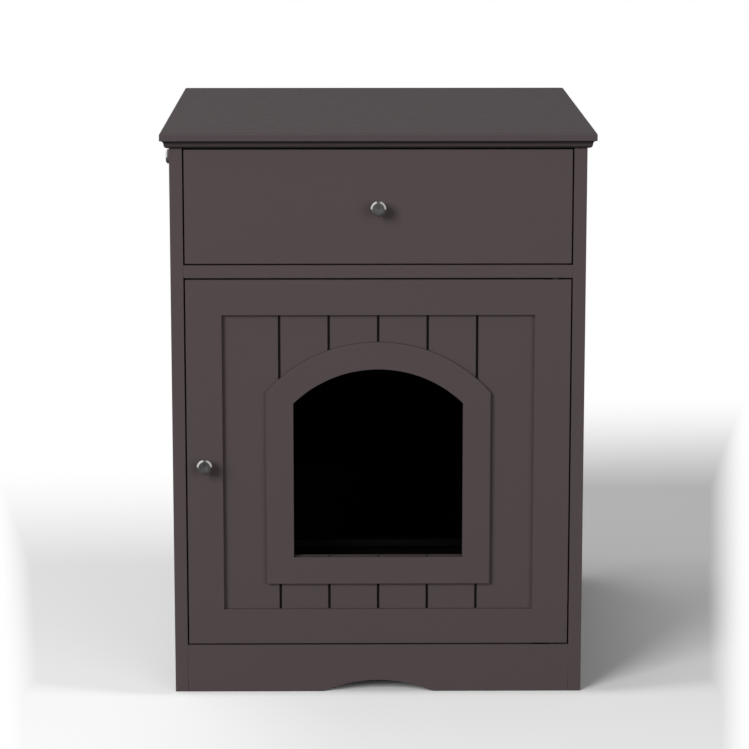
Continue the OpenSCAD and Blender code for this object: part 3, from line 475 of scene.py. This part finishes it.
# black plastic, made near black beyond its own colour as painted shade for the dark inside the
# bay
panPlastic = plasticMaterial("panPlastic", {
    "colour": (0.0022, 0.0022, 0.0023), "bloom": (0.0032, 0.0032, 0.0033), "rough": (0.5, 0.62),
    "shine": 0.05, "fineness": 650.0, "depth": 0.00004})
beech = beechMaterial("beech", {
    "early": (0.60, 0.42, 0.24), "late": (0.44, 0.28, 0.14), "rough": (0.5, 0.7), "shine": 0.35,
    "bump": 0.4, "depth": 0.0001})
print("stage: finishes made")

# the carried-over parts

slotLooks = {
    "painted_board": paintedBoard, "drawer_board": drawerBoard, "satin_nickel": satinNickel,
    "hinge_brass": hingeBrass, "zinc_steel": zincSteel, "runner_steel": runnerCoat,
    "nylon": rollerNylon, "beech": beech, "black_plastic": blackPlastic, "magnet": magnetFerrite,
    "pan_plastic": panPlastic,
}
nodeSlots = {
    "drawer_board": ["drawer_side_left", "drawer_side_right", "drawer_back", "drawer_bottom"],
    "satin_nickel": ["side_knob", "drawer_knob", "door_knob"],
    "hinge_brass": ["hinge_cabinet_leaves", "hinge_door_leaves"],
    "zinc_steel": ["back_panel_pins", "carcass_cam_bolts", "carcass_cam_discs", "side_knob_screw",
                   "cabinet_runner_screws", "front_roller_pins", "hinge_pins",
                   "hinge_cabinet_screws", "catch_screws", "drawer_cam_bolts", "drawer_cam_discs",
                   "drawer_back_screws", "drawer_knob_screw", "drawer_runner_screws",
                   "rear_roller_pins", "hinge_door_screws", "strike_plate", "strike_screw",
                   "door_knob_screw"],
    "runner_steel": ["cabinet_runner_left", "cabinet_runner_right", "drawer_runner_left",
                     "drawer_runner_right"],
    "nylon": ["front_roller_left", "front_roller_right", "rear_roller_left", "rear_roller_right"],
    "beech": ["carcass_dowels", "drawer_dowels", "door_dowels"],
    "black_plastic": ["catch_housing", "hinge_washers"],
    "magnet": ["catch_magnet"],
    "pan_plastic": ["litter_pan"],
}
slotOfNode = {node: slotName for slotName, members in nodeSlots.items() for node in members}
for node, piece in cadNodes.items():
    piece.data.materials.clear()
    piece.data.materials.append(slotLooks[slotOfNode.get(node, "painted_board")])
# the washers are welded and get a little play, so that the door's leaves turn clear of them
washerLook = {"weld": 0.001, "play": 0.02}
washers = cadNodes["hinge_washers"]
weld = washers.modifiers.new("weld", "WELD")
weld.merge_threshold = washerLook["weld"] * mm
play = washers.modifiers.new("play", "DISPLACE")
play.mid_level = 0.0
play.strength = -washerLook["play"] * mm
print("stage: carried-over parts dressed")

# the boards and the moulded top

boardEase = {"case": 0.5, "drawer": 0.7}
caseBoards = {
    "side_panel_left": [(0, -240), (1, frontY), (1, backY)],
    "side_panel_right": [(0, 240), (1, frontY), (1, backY)],
    "divider_shelf": [(1, frontY)],
    "floor_board": [(1, insideY)],
    "apron": [(1, frontY)],
    "rear_rail": [(1, 262.25)],
}
for node, planes in caseBoards.items():
    easedBoard(node + "_eased", node, planes, boardEase["case"], "cabinet", "painted_board",
               bayShadeBoard if node == "floor_board" else paintedBoard)
boxTop, boxFoot = (2, 622.7), (2, 522.7)
drawerBoards = {
    "drawer_side_left": [boxTop, boxFoot], "drawer_side_right": [boxTop, boxFoot],
    "drawer_back": [boxTop],
}
for node, planes in drawerBoards.items():
    easedBoard(node + "_eased", node, planes, boardEase["drawer"], "drawer", "drawer_board",
               drawerBoard)

frontLook = {"sides": (-223.3, 223.3), "levels": (512.8, 645.0), "corner": 0.8, "ease": 0.6}
outline = roundRect(*frontLook["sides"], *frontLook["levels"], frontLook["corner"])
plate = easedPlate("drawer_front_plate", outline, frontY, insideY, frontLook["ease"], [0, 2, 1])
settle(plate, "drawer", "painted_board", paintedBoard, "drawer_front")

topLook = {
    "halfWidth": 250.5, "front": -275.25, "back": 275.25, "top": 665.0, "thick": 18.0,
    "noseHeight": 9.45, "noseRound": 2.5, "footRound": 1.0, "cove": 3.6, "lip": 0.9, "step": 0.2,
    "corner": 0.9, "footShade": 0.25, "coveShade": (0.85, 0.68), "beadShade": (0.20, 0.97),
    "beadPower": 0.6,
}


def topProfile(look, steps=8):
    # (inset, height) from the top face down: nose with two round corners, hollow cove,
    # narrow face and bead
    turn = np.linspace(0, np.pi / 2, steps + 1)
    n, m, c, nose = look["noseRound"], look["footRound"], look["cove"], look["noseHeight"]
    lipTop, lipFoot = nose + c, nose + c + look["lip"]
    b = look["thick"] - lipFoot
    noseTop = np.stack([n - n * np.sin(turn), -n + n * np.cos(turn)], -1)
    noseFoot = np.stack([m - m * np.cos(turn), m - nose - m * np.sin(turn)], -1)
    coveArc = np.stack([m + c * np.sin(turn), -lipTop + c * np.cos(turn)], -1)[1:]
    beadIn = m + c + look["step"]
    beadArc = np.stack([beadIn + b * (1 - np.cos(turn)), -lipFoot - b * np.sin(turn)], -1)
    rub = np.concatenate([np.sin(2 * turn), np.sin(2 * turn), 0 * turn[1:], 0 * turn])
    # painted shade, from its first to its last value along each arc: none on the nose, much in
    # the cove, little on the narrow face and full behind the bead
    (coveTop, coveFoot), (lip, behind) = look["coveShade"], look["beadShade"]
    share = np.linspace(0, 1, steps + 1)
    shade = np.concatenate([0 * share, look["footShade"] * share ** 2,
                            coveTop + (coveFoot - coveTop) * share[1:],
                            lip + (behind - lip) * share ** look["beadPower"]])
    return np.concatenate([noseTop, noseFoot, coveArc, beadArc]), rub, shade


profile, rub, shade = topProfile(topLook)
rings = np.stack([roundRect(inset - topLook["halfWidth"], topLook["halfWidth"] - inset,
                            topLook["front"] + inset, topLook["back"], topLook["corner"])
                  for inset in profile[:, 0]])
heights = np.broadcast_to((topLook["top"] + profile[:, 1])[:, None, None], rings.shape[:2] + (1,))
topPiece = addShell("top_board_moulded", np.concatenate([rings, heights], -1), rub[:, None],
                    sharp=40, groove=shade[:, None])
settle(keepFlat(topPiece), "cabinet", "painted_board", topBoardPaintedShade, "top_board")
print("stage: boards and moulded top made")

# the door's frame, planks and surround

frameLook = {"halfWidth": 223.3, "low": 59.05, "high": 493.95, "stile": 41.8, "rail": 41.45,
             "ease": 0.5, "rabbet": 8.0, "rabbetFace": -258.85}
doorLook = {"halfWidth": 189.4, "low": 92.6, "high": 460.4, "face": -258.75, "back": insideY,
            "pitch": 57.5, "grooves": 5, "grooveWidth": 3.0, "grooveDepth": 2.5, "slope": 0.15,
            "ease": 0.25, "rubFrom": 0.02, "entranceHalf": 99.0, "columns": 67, "sill": 163.5,
            "archRadius": 141.25, "archCentre": 247.25, "surround": 32.0, "surroundEase": 0.6}


def addFrame(name, look, steps=4):
    # the section goes round the door's outline with a mitre at each corner: its share of the
    # stile's width, 0 outside and 1 inside, is also its share of the rail's
    t, r = np.linspace(0, np.pi / 2, steps + 1), look["ease"]
    bow = np.stack([r * (1 - np.sin(t)), r * (1 - np.cos(t))], -1)
    outer = np.stack([bow[::-1, 0], frontY + bow[::-1, 1]], -1)
    inner = np.stack([look["stile"] - bow[:, 0], frontY + bow[:, 1]], -1)
    step = look["stile"] - look["rabbet"]
    rabbet = [[look["stile"], look["rabbetFace"]], [step, look["rabbetFace"]], [step, insideY]]
    section = np.concatenate([[[0, insideY]], outer, inner, rabbet])
    share = section[:, 0] / look["stile"]
    sides = np.array([[-1, -1], [1, -1], [1, 1], [-1, 1]])
    x = sides[:, 0] * (look["halfWidth"] - share[:, None] * look["stile"])
    rise = np.where(sides[:, 1] < 0, look["low"] + share[:, None] * look["rail"],
                    look["high"] - share[:, None] * look["rail"])
    grid = np.stack([x, np.broadcast_to(section[:, 1:], x.shape), rise], -1)
    rub = np.concatenate([[0], np.sin(2 * t), np.sin(2 * t), [0, 0, 0]])
    return keepFlat(addShell(name, grid, rub[:, None], closeRows=True))


def grooveMiddles(look):
    return (np.arange(look["grooves"]) - (look["grooves"] - 1) / 2) * look["pitch"]


def plankDepth(x, look):
    # how far the face lies behind the planks: eased shoulders e (1 - sqrt(1 - share^2)),
    # then steep sides, then the tongue's flat
    away = np.abs(x[:, None] - grooveMiddles(look)).min(1)
    half, ease = look["grooveWidth"] / 2, look["ease"]
    shoulder = np.clip((half + ease - away) / ease, 0, 1)
    rounded = ease * (1 - np.sqrt(1 - shoulder ** 2))
    return np.where(away <= half - look["slope"] + 0.01, look["grooveDepth"], rounded)


def plankStations(look):
    # columns across the planks: close together at each groove, every 3 mm under the arch
    middle, half, ease = grooveMiddles(look), look["grooveWidth"] / 2, look["ease"]
    shoulder = half + ease * (1 - np.sin(np.linspace(0, np.pi / 2, 5)))
    side = np.append(shoulder, half - look["slope"])
    near = (middle[:, None] + np.concatenate([-side, side])).ravel()
    even = np.linspace(-look["entranceHalf"], look["entranceHalf"], look["columns"])
    clear = np.abs(even[:, None] - middle).min(1) > half + 2 * ease
    even = even[clear | (np.abs(even) == look["entranceHalf"])]
    ends = [-look["halfWidth"], look["halfWidth"]]
    return np.unique(np.round(np.concatenate([near, even, ends]), 4))


def addPlanks(name, look):
    # front and back sheets over the same (column, level) grid, without the cells of the entrance,
    # joined by walls; the arch is at centre + sqrt(radius^2 - x^2)
    x, half = plankStations(look), look["entranceHalf"]
    under = np.abs(x) <= half
    rise = np.sqrt(look["archRadius"] ** 2 - np.minimum(np.abs(x), half) ** 2)
    arch = look["archCentre"] + rise
    level = np.stack([np.full_like(x, look["low"]), np.full_like(x, look["sill"]), arch,
                      np.full_like(x, look["high"])], -1)
    across = np.broadcast_to(x[:, None], level.shape)
    sunk = np.broadcast_to(plankDepth(x, look)[:, None], level.shape)
    deep = look["face"] + sunk
    front = np.stack([across, deep, level], -1)
    rear = np.stack([across, np.full_like(level, look["back"]), level], -1)
    points = np.concatenate([front.reshape(-1, 3), rear.reshape(-1, 3)]) * mm
    cells = np.ones((len(x) - 1, 3), bool)
    cells[under[:-1] & under[1:], 1] = False
    index = np.arange(level.size).reshape(level.shape)
    a, b, c, d = index[:-1, :-1], index[1:, :-1], index[1:, 1:], index[:-1, 1:]
    face = np.stack([a, b, c, d], -1)[cells]
    quads = [face, face[:, ::-1] + level.size]
    padded = np.pad(cells, 1)
    for p, q, beside in ((a, b, padded[1:-1, :-2]), (b, c, padded[2:, 1:-1]),
                         (c, d, padded[1:-1, 2:]), (d, a, padded[:-2, 1:-1])):
        rim = cells & ~beside
        quads.append(np.stack([q[rim], p[rim], p[rim] + level.size, q[rim] + level.size], -1))
    rub = ((sunk > look["rubFrom"]) & (sunk < look["ease"])).ravel()
    # painted shade on the grooves' floors
    groove = (sunk >= look["grooveDepth"]).ravel()
    masks = [np.concatenate([mask, 0 * mask]) for mask in (rub, groove)]
    return keepFlat(addMesh(name, points, np.concatenate(quads).tolist(), masks[0], 50, masks[1]))


def entranceRing(grow, look, steps=48):
    # the entrance's outline grown by a margin: sill, upright sides and an arc about one centre
    half, radius = look["entranceHalf"] + grow, look["archRadius"] + grow
    end = math.asin(half / radius)
    turn = np.linspace(end, -end, steps + 1)
    arc = np.stack([radius * np.sin(turn), look["archCentre"] + radius * np.cos(turn)], -1)
    return np.concatenate([[[-half, look["sill"] - grow], [half, look["sill"] - grow]], arc])


def addSurround(name, look, steps=5):
    # the section goes round the entrance: back, outer side, eased front edges, inner side
    t, r = np.linspace(0, np.pi / 2, steps + 1), look["surroundEase"]
    outer = np.stack([look["surround"] - r * (1 - np.cos(t)), frontY + r * (1 - np.sin(t))], -1)
    inner = np.stack([r * (1 - np.cos(t)), frontY + r * (1 - np.sin(t))], -1)[::-1]
    ends = [[[look["surround"], look["face"]]], [[0, look["face"]]]]
    section = np.concatenate([ends[0], outer, inner, ends[1]])
    rings = np.stack([entranceRing(grow, look) for grow in section[:, 0]])
    deep = np.broadcast_to(section[:, 1][:, None], rings.shape[:2])
    grid = np.stack([rings[..., 0], deep, rings[..., 1]], -1)
    rub = np.concatenate([[0], np.sin(2 * t), np.sin(2 * t), [0]])
    return keepFlat(addShell(name, grid, rub[:, None], closeRows=True))


settle(addFrame("door_frame_joined", frameLook), "door", "painted_board", paintedBoard,
       "door_stile_left", "door_stile_right", "door_rail_top", "door_rail_bottom")
settle(addPlanks("door_planks", doorLook), "door", "painted_board", paintedBoard, "door_panel")
settle(addSurround("arch_surround_eased", doorLook), "door", "painted_board", paintedBoard,
       "door_arch_surround")
print("stage: door frame, planks and surround made")

# the knobs

knobLook = {
    "foot": 5.5, "footHeight": 1.5, "footEdge": 0.2, "footEase": 0.4, "neck": 4.0, "flare": 2.0,
    "flareDown": (0.5, 1.6), "flareUp": (2.2, 0.8), "head": 9.0, "headHeight": 7.0,
    "headEase": 0.5, "out": 20.0, "bevel": 1.8, "bevelEnds": (0.25, 0.55), "faceEase": 0.6,
    "dish": 5.6, "dishDepth": 0.35, "dishReach": 0.96, "middle": 0.25, "segments": 96,
    "satinDepth": 0.5, "satinMargin": 0.2,
}


def knobProfile(look):
    # (radius, height) from the foot to the face: every corner is turned with a small radius,
    # both flares are powers of a share s from 0 to 1, and the dish is d sin^2(s pi / 2) deep
    def corner(r0, h0, r, fromTurn, toTurn, steps=5):
        turn = np.linspace(math.radians(fromTurn), math.radians(toTurn), steps + 1)
        return np.stack([r0 + r * np.cos(turn), h0 + r * np.sin(turn)], -1)

    out, head, neck, flare = look["out"], look["head"], look["neck"], look["flare"]
    foot, low, under = look["foot"], look["footHeight"], out - look["headHeight"]
    e, f, g = look["footEase"], look["headEase"], look["faceEase"]
    bevelLow, bevelHigh = look["bevelEnds"]
    s = np.linspace(0, 1, 9)
    inward, down = s ** look["flareDown"][0], s ** look["flareDown"][1]
    outward, up = s ** look["flareUp"][0], s ** look["flareUp"][1]
    flareDown = np.stack([foot - e - (foot - e - neck) * inward, low + flare * down], -1)
    flareUp = np.stack([neck + (head - f - neck) * outward, under - flare + flare * up], -1)
    dish = np.stack([look["dish"] * (1 - s[1:] * look["dishReach"]),
                     out - look["dishDepth"] * np.sin(s[1:] * np.pi / 2) ** 2], -1)
    return np.concatenate([
        [[look["middle"], 0.0], [foot - look["footEdge"], 0.0], [foot, look["footEdge"]]],
        corner(foot - e, low - e, e, 0, 90),
        flareDown[1:], flareUp,
        corner(head - f, under + f, f, -90, 0)[1:],
        corner(head - g, out - look["bevel"] - bevelLow, g, 0, 45),
        corner(head - look["bevel"] - bevelHigh, out - g, g, 45, 90),
        dish])


def addKnob(name, look, at, outward, body, node):
    # the profile turned about the knob's axis, which points away from the board
    section = knobProfile(look)
    turn = np.linspace(0, 2 * np.pi, look["segments"], endpoint=False)
    outward, up = np.array(outward, float), np.array([0.0, 0.0, 1.0])
    radial = np.cos(turn)[:, None] * up + np.sin(turn)[:, None] * np.cross(outward, up)
    grid = np.array(at) + section[:, :1, None] * radial + section[:, 1:, None] * outward
    piece = addShell(name, grid, None, sharp=60)
    settle(piece, body, "satin_nickel", polishedNickel, node)
    piece.data.materials.append(satinNickel)
    middle = np.zeros(len(piece.data.polygons) * 3)
    piece.data.polygons.foreach_get("center", middle)
    middle = middle.reshape(-1, 3) / mm - np.array(at)
    height = middle @ outward
    reach = np.linalg.norm(middle - height[:, None] * outward, axis=1)
    face = height > look["out"] - look["satinDepth"]
    face &= reach < look["head"] - look["bevel"] - look["satinMargin"]
    piece.data.polygons.foreach_set("material_index", face.astype(int))


addKnob("drawer_knob_turned", knobLook, (0, frontY, 579), (0, -1, 0), "drawer", "drawer_knob")
addKnob("door_knob_turned", knobLook, (-202.25, frontY, 276.5), (0, -1, 0), "door", "door_knob")
addKnob("side_knob_turned", knobLook, (-240, 5.25, 606), (-1, 0, 0), "cabinet", "side_knob")

# the litter pan

panLook = {
    "cornerX": 135.0, "cornerY": 160.0, "corner": 45.0, "centreY": 39.25, "floor": 57.0,
    "height": 105.0, "taper": 14.0, "wall": 2.5, "rim": 10.0, "lip": 8.0, "flat": 20.0,
    "footRound": 6.4, "footLevel": (7, 9), "rimRound": 2.2, "innerRound": 2.4, "crease": 0.6,
    "edge": 0.4, "innerEdge": 0.3,
}


def panProfile(look):
    # (shrink, height): outer floor, wall, hollow rim and inner wall down to the inner floor;
    # the wall's shrink at height z is taper (1 - z / height)
    h, w, rim, lip, taper = look["height"], look["wall"], look["rim"], look["lip"], look["taper"]
    foot, over, inner = look["footRound"], look["rimRound"], look["innerRound"]
    crease, edge, flat = look["crease"], look["edge"], look["flat"]

    def arc(s0, z0, r, fromTurn, toTurn, steps=6):
        turn = np.linspace(math.radians(fromTurn), math.radians(toTurn), steps + 1)
        return np.stack([s0 - r * np.cos(turn), z0 + r * np.sin(turn)], -1)

    def wallAt(z):
        return taper * (1 - z / h)

    outerFoot, innerFoot = [wallAt(z) for z in look["footLevel"]]
    return np.concatenate([
        [[taper + flat, 0.0]], arc(outerFoot + foot, foot, foot, -90, -4),
        [[wallAt(h - lip), h - lip], [wallAt(h - w - crease), h - w - crease],
         [-crease, h - w], [crease + w - rim, h - w], [w - rim, h - w - crease],
         [w - rim, h - lip + look["innerEdge"]], [w - rim - edge, h - lip],
         [edge - rim, h - lip], [-rim, h - lip + edge]],
        arc(over - rim, h - over, over, 0, 90),
        [[-edge, h]], arc(w - crease, h - inner, inner, 90, 10)[1:],
        arc(innerFoot + w + foot, w + foot, foot, -4, -90), [[taper + w + flat, w]]])


def addPan(name, look, steps=12):
    # a rounded rectangle at each level: its corners' centres stay, and their radius is less
    # by the profile's shrink
    section, turn = panProfile(look), cornerTurns(steps).ravel()
    cornerX = np.repeat([1, 1, -1, -1], steps + 1) * look["cornerX"]
    cornerY = np.repeat([-1, 1, 1, -1], steps + 1) * look["cornerY"]
    radius = look["corner"] - section[:, :1]
    level = np.broadcast_to(look["floor"] + section[:, 1:], (len(section), len(turn)))
    grid = np.stack([cornerX + radius * np.cos(turn),
                     look["centreY"] + cornerY + radius * np.sin(turn), level], -1)
    return keepFlat(addShell(name, grid, None, sharp=50))


settle(addPan("litter_pan_moulded", panLook), "litter_pan", "pan_plastic", panPlastic,
       "litter_pan")
print("stage: knobs and litter pan made")

# the camera, the lamps and the floor

cameraLook = {"lens": 142.27, "turn": (79.088, 0.0, -0.488),
              "place": (-0.033145, -3.64278, 1.033957)}
camera = bpy.data.objects.new("camera", bpy.data.cameras.new("camera"))
camera.data.sensor_width = 36.0
camera.data.lens = cameraLook["lens"]
camera.location = cameraLook["place"]
camera.rotation_euler = [math.radians(a) for a in cameraLook["turn"]]
scene.collection.objects.link(camera)
scene.camera = camera

lampLook = {
    "keyBox": {"place": (-3.175, -4.653, 2.607), "size": 2.5, "power": 270.0},
    "fillBox": {"place": (2.264, -4.377, 1.588), "size": 3.0, "power": 80.0},
    "overBox": {"place": (0.0, -0.1, 3.33), "size": 3.0, "power": 10.5},
    "overLeftBox": {"place": (-1.051, -0.4, 3.124), "size": 2.0, "power": 7.5},
    "rearBox": {"place": (-1.654, 1.253, 2.435), "size": 2.0, "power": 15.0},
}


def addLamp(name, look, aim=(0.0, -0.1, 0.33)):
    # a square softbox that faces the middle of the cabinet
    lamp = bpy.data.lights.new(name, "AREA")
    lamp.shape = "SQUARE"
    lamp.size = look["size"]
    lamp.energy = look["power"]
    holder = bpy.data.objects.new(name, lamp)
    holder.location = look["place"]
    away = np.array(aim) - np.array(look["place"])
    tilt = math.atan2(math.hypot(away[0], away[1]), -away[2])
    holder.rotation_euler = (tilt, 0.0, math.atan2(away[1], away[0]) - math.pi / 2)
    holder.visible_glossy = False          # metal sees the soft boxes of the world instead
    scene.collection.objects.link(holder)


for name, look in lampLook.items():
    addLamp(name, look)

worldLook = {"ambient": 0.05, "dim": 0.15, "rear": 0.25, "rearEnd": 0.7, "leftBox": 1.0,
             "rightBox": 0.72, "middle": (-0.1, 0.1), "boxFade": (0.20, 0.34),
             "horizon": (-0.22, -0.12)}
world = bpy.data.worlds.new("studio")
scene.world = world
world.use_nodes = True
sky = world.node_tree
sky.nodes.clear()
heading = put(sky, "SeparateXYZ", {0: put(sky, "TexCoord").outputs["Generated"]}).outputs
ray = put(sky, "LightPath").outputs
toCamera, reflected = ray["Is Camera Ray"], ray["Is Glossy Ray"]
# reflections see a tall soft box at each side, a pale wall at the back and a dim room in front
sideways = maths(sky, "ABSOLUTE", heading[0])
box = ramp(sky, heading[0], *worldLook["middle"], worldLook["leftBox"], worldLook["rightBox"])
box = maths(sky, "MULTIPLY", box, ramp(sky, sideways, *worldLook["boxFade"]))
box = maths(sky, "MULTIPLY", box, ramp(sky, heading[2], *worldLook["horizon"]))
room = ramp(sky, heading[1], 0.0, worldLook["rearEnd"], worldLook["dim"], worldLook["rear"])
mirrored = maths(sky, "MULTIPLY", reflected, maths(sky, "MAXIMUM", box, room))
plain = maths(sky, "SUBTRACT", 1.0, maths(sky, "MAXIMUM", toCamera, reflected))
strength = maths(sky, "ADD", maths(sky, "MAXIMUM", toCamera, mirrored),
                 maths(sky, "MULTIPLY", plain, worldLook["ambient"]))
background = put(sky, "Background", {"Color": (1.0, 1.0, 1.0, 1.0), "Strength": strength})
put(sky, "OutputWorld", {"Surface": background.outputs[0]})

# the floor's fades are ramps: from where, to where, and the values there when not 0 and 1
floorLook = {
    "left": -1.7, "right": 1.7, "front": -1.6, "back": 8.0,
    "colour": (0.99, 0.99, 0.99, 1.0), "unseen": (0.15, 0.15, 0.15, 1.0),
    "fanBehind": 3.64, "sideFade": (0.1120, 0.131), "backFade": (0.5, 1.55),
    "frontFade": (-0.75, -1.2), "leftShift": (-0.1, -0.3, 0.0, 0.58),
    "apronEnd": -0.290, "apronReach": (0.24, 0.50, 0.037, 0.16),
    "apronShare": (-0.35, 0.0, 0.80, 0.44), "leastFade": (-0.1, -0.3, 0.0, 0.34),
    "rightFade": (0.20, 0.42, 0.0, 0.14), "behindFade": (0.15, 0.40, 0.0, 0.19),
}
corners = np.array([[floorLook[x], floorLook[y], 0.0] for x, y in
                    (("left", "front"), ("right", "front"), ("right", "back"), ("left", "back"))])
floor = addMesh("floor", corners, [[0, 1, 2, 3]])
floorCoat = bpy.data.materials.new("floorCoat")
floorCoat.use_nodes = True
tree = floorCoat.node_tree
tree.nodes.clear()
place = put(tree, "SeparateXYZ", {0: put(tree, "TexCoord").outputs["Object"]}).outputs
toCamera = put(tree, "LightPath").outputs["Is Camera Ray"]
# the floor is white to the camera alone, so it throws little light back up at the cabinet
coat = blendColour(tree, toCamera, floorLook["unseen"], floorLook["colour"])
matte = put(tree, "BsdfDiffuse", {"Color": coat})
glow = put(tree, "Emission", {"Color": (1.0, 1.0, 1.0, 1.0), "Strength": 1.0})
# the lit pool of floor fans out towards the back, by |x| / (y + fanBehind), and fades to white
# at its sides, back and front
aside = maths(tree, "ABSOLUTE", place[0])
spread = maths(tree, "DIVIDE", aside, maths(tree, "ADD", place[1], floorLook["fanBehind"]))
sideFade = ramp(tree, spread, *floorLook["sideFade"])
# painted light: the back fade starts nearer at the left, lightening the floor there
rearward = maths(tree, "ADD", place[1], ramp(tree, place[0], *floorLook["leftShift"]))
backFade = ramp(tree, rearward, *floorLook["backFade"])
# painted light: the white glow starts close before the apron, lightening the floor there,
# and more softly the farther out to the sides
reach = ramp(tree, aside, *floorLook["apronReach"])
apronStart = maths(tree, "ADD", reach, floorLook["apronEnd"])
apronFade = maths(tree, "MULTIPLY", ramp(tree, place[1], apronStart, floorLook["apronEnd"]),
                  ramp(tree, place[0], *floorLook["apronShare"]))
frontFade = maths(tree, "MAXIMUM", ramp(tree, place[1], *floorLook["frontFade"]), apronFade)
fade = maths(tree, "MAXIMUM", sideFade, maths(tree, "MAXIMUM", backFade, frontFade))
# painted light: a least share of white glow lightens the floor at the left, at the right and
# behind
least = maths(tree, "MAXIMUM", ramp(tree, place[0], *floorLook["leastFade"]),
              maths(tree, "MAXIMUM", ramp(tree, place[0], *floorLook["rightFade"]),
                    ramp(tree, place[1], *floorLook["behindFade"])))
fade = maths(tree, "MAXIMUM", fade, least)
mixer = put(tree, "MixShader", {0: maths(tree, "MULTIPLY", fade, toCamera), 1: matte.outputs[0],
                                2: glow.outputs[0]})
put(tree, "OutputMaterial", {"Surface": mixer.outputs[0]})
floor.data.materials.append(floorCoat)
scene.view_settings.view_transform = "Standard"
print("stage: camera, lamps and floor set")
